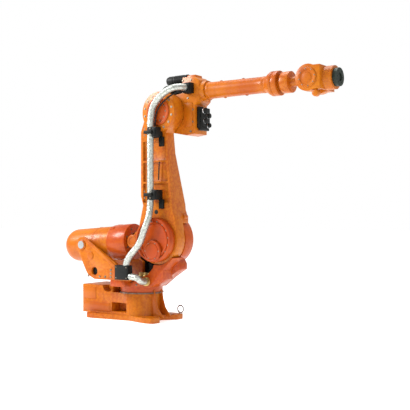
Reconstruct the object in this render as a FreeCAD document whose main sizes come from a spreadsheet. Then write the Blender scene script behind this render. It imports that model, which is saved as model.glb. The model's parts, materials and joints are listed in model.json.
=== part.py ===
import FreeCAD, Part
import math
import os
import re

import Sketcher
from FreeCAD import Placement, Rotation, Vector

"""Six-axis industrial robot arm with a spring balancer.

Millimetres. The origin is on the axis-1 centre line in the underside of the foot,
+Z is up and +X points where the forearm points with every joint at zero.
The near side is -Y: the upper arm stands on that side of the turret.
"""

SHEET = "sizes"
FRONT, ALONG_Y, UPRIGHT = "front", "along_y", "upright"

SIZES = {
    # axes: where each joint sits with every joint at zero
    "shoulder_x": 340.0, "shoulder_z": 712.0,
    "arm_lean": 24.0, "arm_rise": 1075.0,
    "elbow_rise": 171.0, "forearm_reach": 1348.0, "flange_reach": 211.0,
    # clearances
    "running_gap": 0.3, "pin_fit": 0.08, "side_gap": 6.0, "swing_gap": 8.0,
    # base
    "foot_front": 300.0, "foot_rear": 470.0, "foot_half_width": 226.0,
    "foot_thick": 45.0, "lug_length": 150.0, "lug_round": 32.0,
    "waist_front": 201.0, "waist_half_width": 176.0,
    "column_radius": 175.0, "column_top": 235.0,
    "box_rear": 570.0, "box_half_width": 160.0, "box_floor": 40.0, "box_top": 292.0,
    "box_front": 25.0, "box_round": 14.0,
    "pocket_start": 214.0, "pocket_end": 30.0, "pocket_floor": 65.0,
    "pocket_top": 148.0, "pocket_depth": 110.0, "side_clear": 20.0,
    "notch_x": 261.0, "notch_radius": 58.0, "notch_depth": 70.0,
    "foot_bolt_radius": 11.0, "foot_bolt_inset": 38.0, "foot_bolt_pitch": 78.0,
    "bolt_recess_radius": 19.0, "bolt_recess_depth": 14.0,
    "panel_thick": 8.0, "panel_inset": 18.0,
    "plug_radius": 34.0, "plug_length": 46.0,
    "eye_radius": 32.0, "eye_wire": 6.5, "eye_collar": 15.0, "eye_inset": 22.0,
    "bearing_radius": 195.0, "bearing_height": 12.0,
    # turret
    "neck_radius": 188.0, "drum_radius": 232.0, "deck_floor": 304.0, "deck_top": 338.0,
    "wall_thick": 34.0, "near_wall_y": 215.0, "wall_front": 409.0, "wall_rear": 60.0,
    "wall_low_z": 350.0, "wall_corner_z": 461.0,
    "cheek_radius": 212.0, "cheek_near_y": 88.0, "cheek_far_y": 22.0,
    "pedestal_rear": 268.0, "nose_x": 484.0, "nose_floor": 460.0, "nose_top": 505.0,
    "wing_rear": 100.0, "wing_front": 60.0, "wing_top": 358.0,
    "motor1_x": 60.0, "motor1_y": 140.0, "motor_radius": 74.0, "motor1_height": 240.0,
    "motor2_length": 150.0,
    "gear_radius": 176.0,
    # balancer bracket and balancer
    "trunnion_x": 439.0, "trunnion_z": 655.0, "balancer_y": 105.0,
    "bracket_round": 70.0, "bracket_thick": 36.0,
    "bracket_gap": 15.0, "bracket_foot": 118.0, "bracket_foot_top": 478.0,
    "bracket_toe_x": 37.0, "bracket_toe_z": 499.0,
    "bracket_heel_x": 391.0, "bracket_hole_x": 288.0, "bracket_hole_z": 428.0,
    "bracket_hole_radius": 35.0,
    "pin_radius": 22.0, "pin_head_radius": 34.0, "pin_head": 10.0,
    "can_radius": 147.0, "can_wall": 14.0, "can_rear": 316.0, "can_front": 251.0,
    "cap_radius": 156.0, "cap_length": 205.0, "cap_hole_radius": 72.0, "cap_wall": 16.0,
    "rod_radius": 27.0, "rod_length": 380.0, "rod_eye_radius": 38.0, "rod_eye_width": 60.0,
    # upper arm
    "arm_side_y": 200.0, "arm_hub_inner_y": 94.0, "arm_top_inner_y": 90.0,
    "arm_foot_inner_y": 8.0,
    "hub_radius": 208.0, "arm_back_x": 158.0, "arm_front_low": 493.0,
    "arm_front_high": 427.0, "arm_low_z": 962.0, "arm_high_z": 1610.0,
    "arm_shoulder_z": 1010.0, "arm_slim_z": 1440.0,
    "elbow_boss_radius": 168.0, "elbow_boss_face_y": 225.0,
    "panel_depth": 18.0, "rim_width": 24.0, "rib_width": 16.0,
    "pocket_low_z": 1010.0, "pocket_step": 178.0,
    "lug_reach": 258.0, "lug_radius": 58.0, "far_lug_radius": 38.0, "ear_thick": 62.0,
    "disk_radius": 188.0, "disk_face_y": 272.0,
    "cover2_radius": 92.0, "cover2_drop": 92.0, "cover2_thick": 14.0,
    "cover3_radius": 118.0, "cover3_thick": 12.0,
    # elbow and forearm
    "casting_near_y": 84.0, "casting_far_y": 88.0, "casting_front": 643.0,
    "casting_floor": 1590.0, "elbow_hub_radius": 160.0,
    "housing_radius": 118.0, "housing_rear": 515.0, "collar_radius": 84.0,
    "collar_front": 725.0, "collar_floor": 1840.0,
    "servo_radius": 42.0, "servo_length": 215.0, "servo_spread": 44.0, "servo_rise": 32.0,
    "gear3_radius": 140.0,
    "unit_width": 120.0, "unit_length": 81.0, "unit_floor": 1628.0, "unit_top": 1826.0,
    "tube_radius_rear": 72.0, "tube_radius_front": 66.0, "tube_front": 1330.0,
    "flare_length": 42.0, "ring1_radius": 98.0, "ring1_front": 1417.0,
    # wrist
    "wrist_spigot": 62.0,
    "ring2_rear": 1444.0, "ring2_front": 1515.0, "ring2_radius": 84.0,
    "neck_shaft_radius": 39.0, "knuckle_radius": 74.0, "knuckle_half": 62.7,
    "head_radius": 102.0, "head_half": 125.0, "head_wall": 62.0,
    "nose_radius": 90.0, "nose_rear": 104.0,
    "flange_radius": 70.0, "flange_thick": 34.0, "flange_bolt_circle": 46.0,
    "flange_bolt_radius": 5.0, "flange_bore_radius": 31.5, "flange_bore_depth": 8.0,
    "bend_cover_radius": 76.0, "bend_cover_thick": 10.0,
    "plug5_radius": 28.0, "plug5_dx": 60.0, "plug5_thick": 46.0,
    # hose and its clamps
    "hose_radius": 29.0, "hose_y": 274.0, "hose_x": 322.0, "cable_radius": 6.0,
    "clampbox_x": 2.0, "clampbox_length": 146.0, "clampbox_floor": 372.0,
    "clampbox_top": 494.0, "clampbox_depth": 64.0,
    "clamp_half": 42.0, "clamp_foot": 30.0,
    "low_clamp_z": 1090.0, "high_clamp_z": 1612.0,
    "entry_x": 596.0, "entry_length": 76.0, "entry_half": 44.0, "entry_depth": 66.0,
    "socket_x": 235.0, "socket_z": 356.0, "socket_radius": 38.0, "socket_length": 26.0,
}

doc = FreeCAD.newDocument("robot_arm")
sheet = doc.addObject("Spreadsheet::Sheet", SHEET)
ALIAS = re.compile(r"\b(" + "|".join(sorted(SIZES, key=len, reverse=True)) + r")\b")
parts = []


def fill_sheet():
    """Each driving size is one cell with an alias."""
    for row, (alias, value) in enumerate(SIZES.items(), start=1):
        sheet.set(f"A{row}", alias.replace("_", " "))
        sheet.set(f"B{row}", str(value))
        sheet.setAlias(f"B{row}", alias)
    doc.recompute()


def formula(text):
    """An expression with each size replaced by its cell."""
    return ALIAS.sub(lambda m: f"{SHEET}.{m.group(1)}", str(text))


def value(text):
    """The number that an expression over the sizes has now."""
    scope = doc.addObject("App::FeaturePython", "scope")
    scope.addProperty("App::PropertyFloat", "Result")
    scope.setExpression("Result", formula(text))
    scope.recompute()
    result = scope.Result
    doc.removeObject(scope.Name)
    return result


def bind(thing, **sizes):
    for name, text in sizes.items():
        thing.setExpression(name, formula(text))


def place(thing, x=0, y=0, z=0, turn=None):
    """Puts a shape at a point given by expressions, with an optional turn."""
    thing.Placement = Placement(Vector(0, 0, 0), turn or Rotation())
    for axis, text in zip("xyz", (x, y, z)):
        thing.setExpression(f"Placement.Base.{axis}", formula(text))
    return thing


# the clevis pin lies on the line from the trunnion to the shoulder
TILT = "atan((shoulder_z - trunnion_z) / (shoulder_x + trunnion_x))"
PIN_X = f"shoulder_x - lug_reach * cos({TILT})"
PIN_Z = f"shoulder_z - lug_reach * sin({TILT})"

# the hose box is bolted on the outer face of the near bracket
CLAMPBOX_Y = "-balancer_y - can_radius - bracket_gap - bracket_thick"

TURNS = {
    UPRIGHT: Rotation(),
    ALONG_Y: Rotation(Vector(1, 0, 0), -90),
    FRONT: Rotation(Vector(0, 1, 0), 90),
}


def box(x0, x1, y0, y1, z0, z1):
    """A box between two corners."""
    solid = doc.addObject("Part::Box", "block")
    bind(solid, Length=f"({x1}) - ({x0})", Width=f"({y1}) - ({y0})",
         Height=f"({z1}) - ({z0})")
    return place(solid, x0, y0, z0)


def cylinder(radius, length, x=0, y=0, z=0, axis=UPRIGHT):
    """A cylinder that starts at a point and runs along +Z, +Y or +X."""
    solid = doc.addObject("Part::Cylinder", "round")
    bind(solid, Radius=radius, Height=length)
    return place(solid, x, y, z, TURNS[axis])


def along_balancer(radius, length, start):
    """A cylinder on the balancer's own axis, from a distance past the trunnion."""
    solid = doc.addObject("Part::Cylinder", "round")
    bind(solid, Radius=radius, Height=length)
    place(solid, f"-trunnion_x + ({start}) * cos({TILT})", "-balancer_y",
          f"trunnion_z + ({start}) * sin({TILT})", TURNS[FRONT])
    solid.setExpression("Placement.Rotation.Angle", formula(f"90 deg - {TILT}"))
    return solid


def cone(radius1, radius2, length, x=0, y=0, z=0, axis=UPRIGHT):
    solid = doc.addObject("Part::Cone", "taper")
    bind(solid, Radius1=radius1, Radius2=radius2, Height=length)
    return place(solid, x, y, z, TURNS[axis])


def fuse(*shapes):
    joined = doc.addObject("Part::MultiFuse", "joined")
    joined.Shapes = list(shapes)
    joined.Refine = True
    return joined


def cut(base, *tools):
    """The base without each tool."""
    for tool in tools:
        less = doc.addObject("Part::Cut", "less")
        less.Base, less.Tool = base, tool
        less.Refine = True
        base = less
    return base


def common(base, tool):
    both = doc.addObject("Part::MultiCommon", "both")
    both.Shapes = [base, tool]
    return both


def profile(plane, points, start, length):
    """A prism: an outline in the XY, XZ or YZ plane, padded from start over length.

    Points are pairs of expressions. The pad runs along the third axis, upwards.
    """
    body = doc.addObject("PartDesign::Body", "profile_body")
    sketch = body.newObject("Sketcher::SketchObject", "outline")
    origin = {f.Role: f for f in body.Origin.OriginFeatures}
    sketch.AttachmentSupport = [(origin[f"{plane}_Plane"], "")]
    sketch.MapMode = "FlatFace"
    places = [Vector(value(u), value(v), 0) for u, v in points]
    for first, second in zip(places, places[1:] + places[:1]):
        sketch.addGeometry(Part.LineSegment(first, second), False)
    count = len(points)
    for edge in range(count):
        sketch.addConstraint(
            Sketcher.Constraint("Coincident", edge, 2, (edge + 1) % count, 1))
    for edge, ((u, v), at) in enumerate(zip(points, places)):
        for kind, text, size in (("DistanceX", u, at.x), ("DistanceY", v, at.y)):
            index = sketch.addConstraint(
                Sketcher.Constraint(kind, -1, 1, edge, 1, size))
            sketch.setExpression(f"Constraints[{index}]", formula(text))
    pad = body.newObject("PartDesign::Pad", "pad")
    pad.Profile = sketch
    bind(pad, Length=length)
    pad.Reversed = plane == "XZ"
    body.Tip = pad
    doc.recompute()
    corner = {"XY": (0, 0, start), "XZ": (0, start, 0), "YZ": (start, 0, 0)}[plane]
    return place(body, *corner)


def rounded(shape, radius, chosen):
    """The shape with a fillet on each edge that a test picks."""
    doc.recompute()
    edges = [n + 1 for n, edge in enumerate(shape.Shape.Edges) if chosen(edge)]
    soft = doc.addObject("Part::Fillet", "soft")
    soft.Base = shape
    size = value(radius)
    soft.Edges = [(n, size, size) for n in edges]
    return soft


def runs_along(direction):
    """A test for straight edges along a direction."""
    def test(edge):
        if not isinstance(edge.Curve, Part.Line):
            return False
        return abs(abs(edge.Curve.Direction.dot(direction)) - 1) < 1e-6
    return test


def part(label, shape):
    """Names a finished sub-part, which becomes a file of that name."""
    shape.Label = label
    parts.append(shape)
    return shape


# ---------------------------------------------------------------- base

def foot_outline():
    """A quarter of the foot's outline, mirrored into four diagonal lugs."""
    side = "foot_half_width"
    front = [("waist_front", "0"), ("foot_front + 4", f"{side} - lug_length / 1.5"),
             ("foot_front", side), ("foot_front - lug_length / 1.5", side),
             ("0", "waist_half_width")]
    rear = [("-foot_rear + lug_length / 1.5", side), ("-foot_rear", side),
            ("-foot_rear - 4", f"{side} - lug_length / 1.5"), ("-foot_rear + 20", "0")]
    half = front + rear
    other = [(u, f"-({v})") for u, v in reversed(half) if v != "0"]
    return half + other


def foot_bolt_places():
    """The centres of the eight foot bolts, two in each lug."""
    for along, sign in (("foot_front", "-"), ("-foot_rear", "+")):
        for side in ("", "-"):
            yield (f"{along} {sign} foot_bolt_inset",
                   f"{side}(foot_half_width - foot_bolt_inset - foot_bolt_pitch)")
            yield (f"{along} {sign} (foot_bolt_inset + foot_bolt_pitch)",
                   f"{side}(foot_half_width - foot_bolt_inset)")


def make_base_casting():
    foot = profile("XY", foot_outline(), "0", "foot_thick")
    foot = rounded(foot, "lug_round", runs_along(Vector(0, 0, 1)))
    column = cylinder("column_radius", "column_top - foot_thick", z="foot_thick")
    shell = box("-box_rear", "box_front", "-box_half_width", "box_half_width",
                "box_floor", "column_top")
    shell = rounded(shell, "box_round", runs_along(Vector(0, 0, 1)))
    rise = box("-box_rear", "-notch_x + notch_radius", "-box_half_width",
               "box_half_width", "column_top - box_round", "box_top")
    rise = rounded(rise, "box_round", runs_along(Vector(0, 0, 1)))
    casting = fuse(foot, column, shell, rise)
    tools = []
    for side in (-1, 1):
        wall = f"{side} * box_half_width"
        inner = f"{side} * (box_half_width - pocket_depth)"
        low, high = (wall, inner) if side < 0 else (inner, wall)
        margin_low, margin_high = ("side_clear", "0") if side < 0 else ("0", "side_clear")
        tools.append(box("-pocket_start", "-pocket_end", f"{low} - {margin_low}",
                         f"{high} + {margin_high}", "pocket_floor", "pocket_top"))
        start = "-box_half_width - 1" if side < 0 else "box_half_width - notch_depth"
        tools.append(cylinder("notch_radius", "notch_depth + 1", "-notch_x", start,
                              "box_top", ALONG_Y))
    for x, y in foot_bolt_places():
        tools.append(cylinder("foot_bolt_radius", "foot_thick + 2", x, y, "-1"))
        tools.append(cylinder("bolt_recess_radius", "bolt_recess_depth + 200", x, y,
                              "foot_thick - bolt_recess_depth"))
    return part("base_casting", cut(casting, *tools))


def make_base_fittings():
    side = "box_half_width - panel_inset"
    part("base_rear_panel", box(
        "-box_rear - panel_thick", "-box_rear", f"-({side})", side,
        "box_floor + panel_inset", "box_top - panel_inset"))
    middle = "(box_floor + box_top) / 2"
    for label, shift in (("power_connector", "-60"), ("signal_connector", "60")):
        part(label, cylinder("plug_radius", "plug_length",
                             "-box_rear - panel_thick - plug_length", shift, middle, FRONT))
    part("axis1_bearing_ring",
         cylinder("bearing_radius", "bearing_height", z="column_top"))
    x, y = "foot_front - eye_inset", "foot_half_width - eye_inset"
    ring = doc.addObject("Part::Torus", "ring")
    bind(ring, Radius1="eye_radius", Radius2="eye_wire")
    place(ring, x, y, "foot_thick + eye_collar / 2 + eye_radius", TURNS[ALONG_Y])
    collar = cylinder("eye_collar", "eye_collar / 2", x, y, "foot_thick")
    part("base_lifting_eye", fuse(ring, collar))


# ---------------------------------------------------------------- turret

def make_turret_casting():
    seat = "column_top + bearing_height + running_gap"
    neck = cylinder("neck_radius", f"deck_floor - ({seat})", z=seat)
    deck = cylinder("drum_radius", "deck_top - deck_floor", z="deck_floor")
    wall_outline = [
        ("-wall_rear", "deck_floor"), ("wall_front - 150", "deck_floor"),
        ("wall_front - 40", "wall_low_z"), ("wall_front", "wall_low_z + 30"),
        ("wall_front", "wall_corner_z"), ("nose_x + 30", "shoulder_z - 150"),
        ("shoulder_x", "shoulder_z - 120"), ("shoulder_x - 40", "wall_corner_z + 12"),
        ("shoulder_x - 100", "wall_corner_z - 50"), ("wall_rear", "deck_top"),
        ("-wall_rear", "deck_top")]
    near = profile("XZ", wall_outline, "-near_wall_y", "wall_thick")
    front_outline = [
        ("wall_front - 200", "deck_floor"), ("wall_front - 150", "deck_floor"),
        ("wall_front - 40", "wall_low_z"), ("wall_front", "wall_low_z + 30"),
        ("wall_front", "wall_corner_z"), ("nose_x + 30", "shoulder_z - 150"),
        ("shoulder_x + 60", "shoulder_z - 120"), ("wall_front - 80", "wall_corner_z - 40"),
        ("wall_front - 110", "deck_top")]
    front = profile("XZ", front_outline, "-near_wall_y", "near_wall_y - cheek_near_y + 1")
    pedestal = profile("XZ", [
        ("pedestal_rear - 90", "deck_floor"), ("wall_front - 150", "deck_floor"),
        ("nose_x - 110", "nose_floor - 70"), ("nose_x", "nose_floor"), ("nose_x", "nose_top"),
        ("nose_x - 24", "shoulder_z - 165"), ("shoulder_x + 150", "shoulder_z - 120"),
        ("shoulder_x", "shoulder_z"), ("pedestal_rear + 35", "shoulder_z - 152"),
        ("pedestal_rear + 35", "nose_floor + 10"), ("pedestal_rear - 6", "nose_floor - 60")],
        "-cheek_near_y", "cheek_near_y + cheek_far_y")
    cheek = cylinder("cheek_radius", "cheek_near_y + cheek_far_y", "shoulder_x",
                     "-cheek_near_y", "shoulder_z", ALONG_Y)
    reach = "balancer_y + can_radius + bracket_gap"
    wing = box("-wing_rear", "wing_front", f"-({reach} + bracket_thick)", "0",
               "deck_floor", "wing_top")
    far_wing = box("-wing_rear", "-bracket_toe_x + 7", "0",
                   f"{reach} + bracket_thick - balancer_y * 2", "deck_floor", "wing_top")
    swing = cylinder("hub_radius + side_gap", "near_wall_y - cheek_near_y + 1", "shoulder_x",
                     "-near_wall_y - 1", "shoulder_z", ALONG_Y)
    return part("turret_casting",
                fuse(cut(fuse(neck, deck, near, front, wing, far_wing), swing),
                     pedestal, cheek))


def bracket_outline():
    """Side view of a balancer bracket, without its round top."""
    return [
        ("-trunnion_x", "trunnion_z + bracket_round"),
        ("-bracket_toe_x", "bracket_toe_z"),
        ("-bracket_toe_x", "wing_top"), ("-bracket_hole_x", "wing_top"),
        ("-bracket_heel_x + 30", "wing_top + 31"),
        ("-bracket_heel_x", "bracket_hole_z"),
        ("-trunnion_x - bracket_round * 0.7", "trunnion_z - bracket_round * 0.7"),
        ("-trunnion_x - bracket_round", "trunnion_z")]


def make_brackets():
    for label, side in (("balancer_bracket_right", -1), ("balancer_bracket_left", 1)):
        near = "-balancer_y - can_radius - bracket_gap - bracket_thick"
        far = "-balancer_y + can_radius + bracket_gap"
        start = near if side < 0 else far
        plate = profile("XZ", bracket_outline(), start, "bracket_thick")
        if side < 0:
            foot = box("-bracket_toe_x - 60", "bracket_foot", start,
                       f"{start} + bracket_thick", "wing_top", "bracket_foot_top")
            plate = fuse(plate, foot)
        eye = cylinder("bracket_round", "bracket_thick", "-trunnion_x", start,
                       "trunnion_z", ALONG_Y)
        hole = cylinder("bracket_hole_radius", "bracket_thick + 2", "-bracket_hole_x",
                        f"{start} - 1", "bracket_hole_z", ALONG_Y)
        bore = cylinder("pin_radius + pin_fit", "bracket_thick + 2", "-trunnion_x",
                        f"{start} - 1", "trunnion_z", ALONG_Y)
        part(label, cut(fuse(plate, eye), hole, bore))


def make_turret_fittings():
    part("axis1_motor", cylinder("motor_radius", "motor1_height", "motor1_x",
                                 "motor1_y", "deck_top"))
    part("axis2_motor", cylinder("motor_radius", "motor2_length", "shoulder_x",
                                 "cheek_far_y", "shoulder_z", ALONG_Y))
    part("axis2_gear_case", cylinder(
        "gear_radius", "arm_hub_inner_y - cheek_near_y - running_gap", "shoulder_x",
        "-arm_hub_inner_y + running_gap", "shoulder_z", ALONG_Y))
    part("hose_clamp_box", box(
        "clampbox_x", "clampbox_x + clampbox_length", f"{CLAMPBOX_Y} - clampbox_depth",
        CLAMPBOX_Y, "clampbox_floor", "clampbox_top"))
    part("hose_socket", cylinder("socket_radius", "socket_length", "socket_x",
                                 "-near_wall_y - socket_length", "socket_z", ALONG_Y))


# ---------------------------------------------------------------- balancer

def make_balancer():
    outer = along_balancer("can_radius", "can_rear + can_front", "-can_rear")
    outer = rounded(outer, "can_radius * 0.8",
                    lambda e: e.BoundBox.XMax < -SIZES["trunnion_x"] - SIZES["can_rear"] / 2)
    bore = along_balancer("can_radius - can_wall", "can_rear + can_front",
                          "can_radius * 0.55 - can_rear")
    part("balancer_cylinder", cut(outer, bore))
    cap = along_balancer("cap_radius", "cap_length", "can_front")
    inside = along_balancer("can_radius - can_wall", "cap_length - cap_wall", "can_front - 0.01")
    hole = along_balancer("cap_hole_radius", "cap_length + 2", "can_front")
    part("balancer_front_cap", cut(cap, inside, hole))
    for label, side in (("trunnion_pin_right", -1), ("trunnion_pin_left", 1)):
        length = "bracket_gap + bracket_thick + 4"
        if side < 0:
            start_y = f"-balancer_y - can_radius - ({length})"
            head_y = f"{start_y} - pin_head"
        else:
            start_y = "-balancer_y + can_radius"
            head_y = f"{start_y} + {length}"
        shank = cylinder("pin_radius", length, "-trunnion_x", start_y, "trunnion_z", ALONG_Y)
        head = cylinder("pin_head_radius", "pin_head", "-trunnion_x", head_y,
                        "trunnion_z", ALONG_Y)
        part(label, fuse(shank, head))


def make_rod():
    reach = "sqrt((shoulder_x + trunnion_x)^2 + (shoulder_z - trunnion_z)^2) - lug_reach"
    rod = along_balancer("rod_radius", "rod_length", f"{reach} - rod_length")
    eye = cylinder("rod_eye_radius", "rod_eye_width", PIN_X, "-balancer_y - rod_eye_width / 2",
                   PIN_Z, ALONG_Y)
    bore = cylinder("pin_radius + pin_fit", "rod_eye_width + 2", PIN_X,
                    "-balancer_y - rod_eye_width / 2 - 1", PIN_Z, ALONG_Y)
    part("balancer_rod", cut(fuse(rod, eye), bore))


# ---------------------------------------------------------------- upper arm

def arm_pockets():
    """Three shallow pockets up the near side, with ribs between them."""
    slope = "(arm_front_low - arm_front_high) / (arm_high_z - arm_low_z)"
    for step in range(3):
        low = f"pocket_low_z + pocket_step * {step} + rib_width"
        high = f"pocket_low_z + pocket_step * {step + 1}"
        front_low = f"arm_front_low - rim_width - ({low} - arm_low_z) * {slope}"
        front_high = f"arm_front_low - rim_width - ({high} - arm_low_z) * {slope}"
        yield profile("XZ", [
            ("arm_back_x + rim_width", low), (front_low, low), (front_high, high),
            ("arm_back_x + rim_width", high)], "-arm_side_y - 1", "panel_depth + 1")


def make_upper_arm():
    elbow_x, elbow_z = "shoulder_x + arm_lean", "shoulder_z + arm_rise"
    step = "shoulder_z + cheek_radius + side_gap * 2"
    hub = cylinder("hub_radius", "arm_side_y - arm_hub_inner_y", "shoulder_x",
                   "-arm_side_y", "shoulder_z", ALONG_Y)
    side_view = profile("XZ", [
        ("shoulder_x - hub_radius * 0.95", "shoulder_z + hub_radius * 0.3"),
        ("shoulder_x", "shoulder_z"),
        ("shoulder_x + hub_radius", "shoulder_z + 10"), ("arm_front_low + 26", "arm_low_z - 60"),
        ("arm_front_low", "arm_low_z"), ("arm_front_high", "arm_high_z"),
        (f"{elbow_x} + elbow_boss_radius * 0.92", f"{elbow_z} - 50"), (elbow_x, elbow_z),
        (f"{elbow_x} - elbow_boss_radius * 0.95", f"{elbow_z} - 40"),
        ("arm_back_x", "arm_high_z + 20"), ("arm_back_x", "arm_low_z + 120"),
        ("arm_back_x + 24", "arm_low_z + 40"), ("arm_back_x + 10", "arm_low_z - 30")],
        "-arm_side_y", "arm_side_y")
    front_view = profile("YZ", [
        ("-arm_side_y", "shoulder_z"), ("-arm_hub_inner_y", "shoulder_z"),
        ("-arm_hub_inner_y", step), ("-arm_foot_inner_y", step),
        ("-arm_foot_inner_y", "arm_shoulder_z"), ("-arm_top_inner_y", "arm_slim_z"),
        ("-arm_top_inner_y", elbow_z), ("-arm_side_y", elbow_z)],
        "arm_back_x - 100", "arm_front_low")
    beam = common(side_view, front_view)
    boss = cylinder("elbow_boss_radius", "elbow_boss_face_y - arm_top_inner_y", elbow_x,
                    "-elbow_boss_face_y", elbow_z, ALONG_Y)
    clear_x = "shoulder_x - cheek_radius - side_gap * 1.6"
    near = profile("XZ", [
        (PIN_X, f"{PIN_Z} - lug_radius"),
        ("shoulder_x - 60", f"{PIN_Z} - lug_radius - 30"), ("shoulder_x", "shoulder_z"),
        ("arm_back_x + 70", "arm_low_z + 60"), ("arm_back_x + 24", "arm_low_z + 40"),
        (f"{PIN_X} + 50", f"{PIN_Z} + lug_radius + 52"), (f"{PIN_X} - 6", f"{PIN_Z} + lug_radius")],
        "-arm_side_y", "ear_thick")
    far_y = "-balancer_y + rod_eye_width / 2 + 3"
    far = profile("XZ", [
        (PIN_X, f"{PIN_Z} - far_lug_radius"), (clear_x, f"{PIN_Z} - far_lug_radius + 16"),
        (clear_x, "shoulder_z + 33"), (f"{clear_x} + 30", "shoulder_z + 116"),
        (f"{clear_x} + 72", "shoulder_z + 168"), (f"{clear_x} + 140", step),
        ("arm_back_x + 140", step), ("arm_back_x + 140", "arm_low_z + 40"),
        ("arm_back_x + 18", "arm_low_z + 50"), (f"{PIN_X} + 64", f"{step} - 60"),
        (f"{PIN_X} + 18", f"{PIN_Z} + far_lug_radius + 20"),
        (PIN_X, f"{PIN_Z} + far_lug_radius - 1")], far_y, "ear_thick")
    ears = [near, far, cylinder("lug_radius", "ear_thick", PIN_X, "-arm_side_y", PIN_Z, ALONG_Y),
            cylinder("far_lug_radius", "ear_thick", PIN_X, far_y, PIN_Z, ALONG_Y)]
    bore = cylinder("pin_radius", "arm_side_y * 2", PIN_X, "-arm_side_y - 1", PIN_Z, ALONG_Y)
    pad = box("hose_x - clamp_half", "hose_x + clamp_half + clamp_foot", "-arm_side_y",
              "-arm_side_y + panel_depth", "low_clamp_z - clamp_half",
              "low_clamp_z + clamp_half")
    return part("upper_arm_casting",
                fuse(cut(fuse(hub, beam, boss, *ears), bore, *arm_pockets()), pad))


def make_arm_fittings():
    elbow_x, elbow_z = "shoulder_x + arm_lean", "shoulder_z + arm_rise"
    part("axis2_cover", cylinder("disk_radius", "disk_face_y - arm_side_y", "shoulder_x",
                                 "-disk_face_y", "shoulder_z", ALONG_Y))
    part("axis2_cap", cylinder("cover2_radius", "cover2_thick", "shoulder_x",
                               "-disk_face_y - cover2_thick", "shoulder_z - cover2_drop",
                               ALONG_Y))
    part("axis3_cover", cylinder("cover3_radius", "cover3_thick", elbow_x,
                                 "-elbow_boss_face_y - cover3_thick", elbow_z, ALONG_Y))
    part("clevis_pin", cylinder("pin_radius - pin_fit / 4",
                                "(arm_side_y - balancer_y) * 2", PIN_X, "-arm_side_y",
                                PIN_Z, ALONG_Y))
    for label, z in (("lower_hose_clamp", "low_clamp_z"), ("upper_hose_clamp", "high_clamp_z")):
        block = box("hose_x - clamp_half", "hose_x + clamp_half + clamp_foot",
                    "-hose_y - clamp_half", "-arm_side_y",
                    f"{z} - clamp_half", f"{z} + clamp_half")
        boss = cylinder("elbow_boss_radius + running_gap", "elbow_boss_face_y", elbow_x,
                        "-elbow_boss_face_y", elbow_z, ALONG_Y)
        bore = cylinder("hose_radius", "clamp_half * 4", "hose_x", "-hose_y",
                        f"{z} - clamp_half * 2")
        part(label, cut(block, bore, boss))
    part("arm_hose", cylinder("hose_radius", "high_clamp_z - low_clamp_z", "hose_x",
                              "-hose_y", "low_clamp_z"))


# ---------------------------------------------------------------- forearm

def make_elbow():
    elbow_x, elbow_z = "shoulder_x + arm_lean", "shoulder_z + arm_rise"
    axis_z = f"{elbow_z} + elbow_rise"
    wide = "casting_near_y + casting_far_y"
    hub = cylinder("elbow_hub_radius", wide, elbow_x, "-casting_near_y", elbow_z, ALONG_Y)
    block = profile("XZ", [
        (elbow_x, f"{elbow_z} - elbow_hub_radius"), ("casting_front - 90", "casting_floor"),
        ("casting_front", "casting_floor + 10"), ("casting_front", "collar_floor"),
        ("casting_front + 40", f"{axis_z} - collar_radius"),
        ("casting_front + 40", f"{axis_z} + collar_radius"),
        ("casting_front - 10", f"{axis_z} + housing_radius"),
        ("housing_rear", f"{axis_z} + housing_radius"), ("housing_rear", f"{axis_z} - 12"),
        (f"{elbow_x} - elbow_hub_radius * 0.6", f"{elbow_z} + elbow_hub_radius * 0.8")],
        "-casting_near_y", wide)
    collar = cylinder("collar_radius", "collar_front - casting_front + 60",
                      "casting_front - 60", "0", axis_z, FRONT)
    part("elbow_casting", fuse(hub, block, collar))
    middle = "(casting_far_y - casting_near_y) / 2"
    for label, y, z in (("axis4_motor", middle, "housing_radius - 2"),
                        ("axis5_motor", f"{middle} - servo_spread", "servo_rise"),
                        ("axis6_motor", f"{middle} + servo_spread", "servo_rise")):
        part(label, cylinder("servo_radius", "servo_length", "housing_rear - servo_length",
                             y, f"{axis_z} + {z}", FRONT))
    part("axis3_motor", box("casting_front", "casting_front + unit_length",
                            f"{middle} - unit_width / 2", f"{middle} + unit_width / 2",
                            "unit_floor", "unit_top"))
    part("forearm_tube", cone("tube_radius_rear", "tube_radius_front",
                              "tube_front - flare_length - collar_front",
                              "collar_front", "0", axis_z, FRONT))
    flare = cone("tube_radius_front", "ring1_radius - 6", "flare_length",
                 "tube_front - flare_length", "0", axis_z, FRONT)
    ring = cylinder("ring1_radius", "ring1_front - tube_front", "tube_front", "0", axis_z, FRONT)
    part("wrist_fixed_flange", fuse(flare, ring))
    part("axis3_gear_case", cylinder(
        "gear3_radius", "arm_top_inner_y - casting_near_y - running_gap", elbow_x,
        "-arm_top_inner_y + running_gap", elbow_z, ALONG_Y))
    part("hose_entry_clamp", box(
        "entry_x - entry_length / 2", "entry_x + entry_length / 2",
        "-casting_near_y - entry_depth", "-casting_near_y",
        f"{axis_z} - entry_half + 20", f"{axis_z} + entry_half + 20"))


# ---------------------------------------------------------------- wrist

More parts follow.
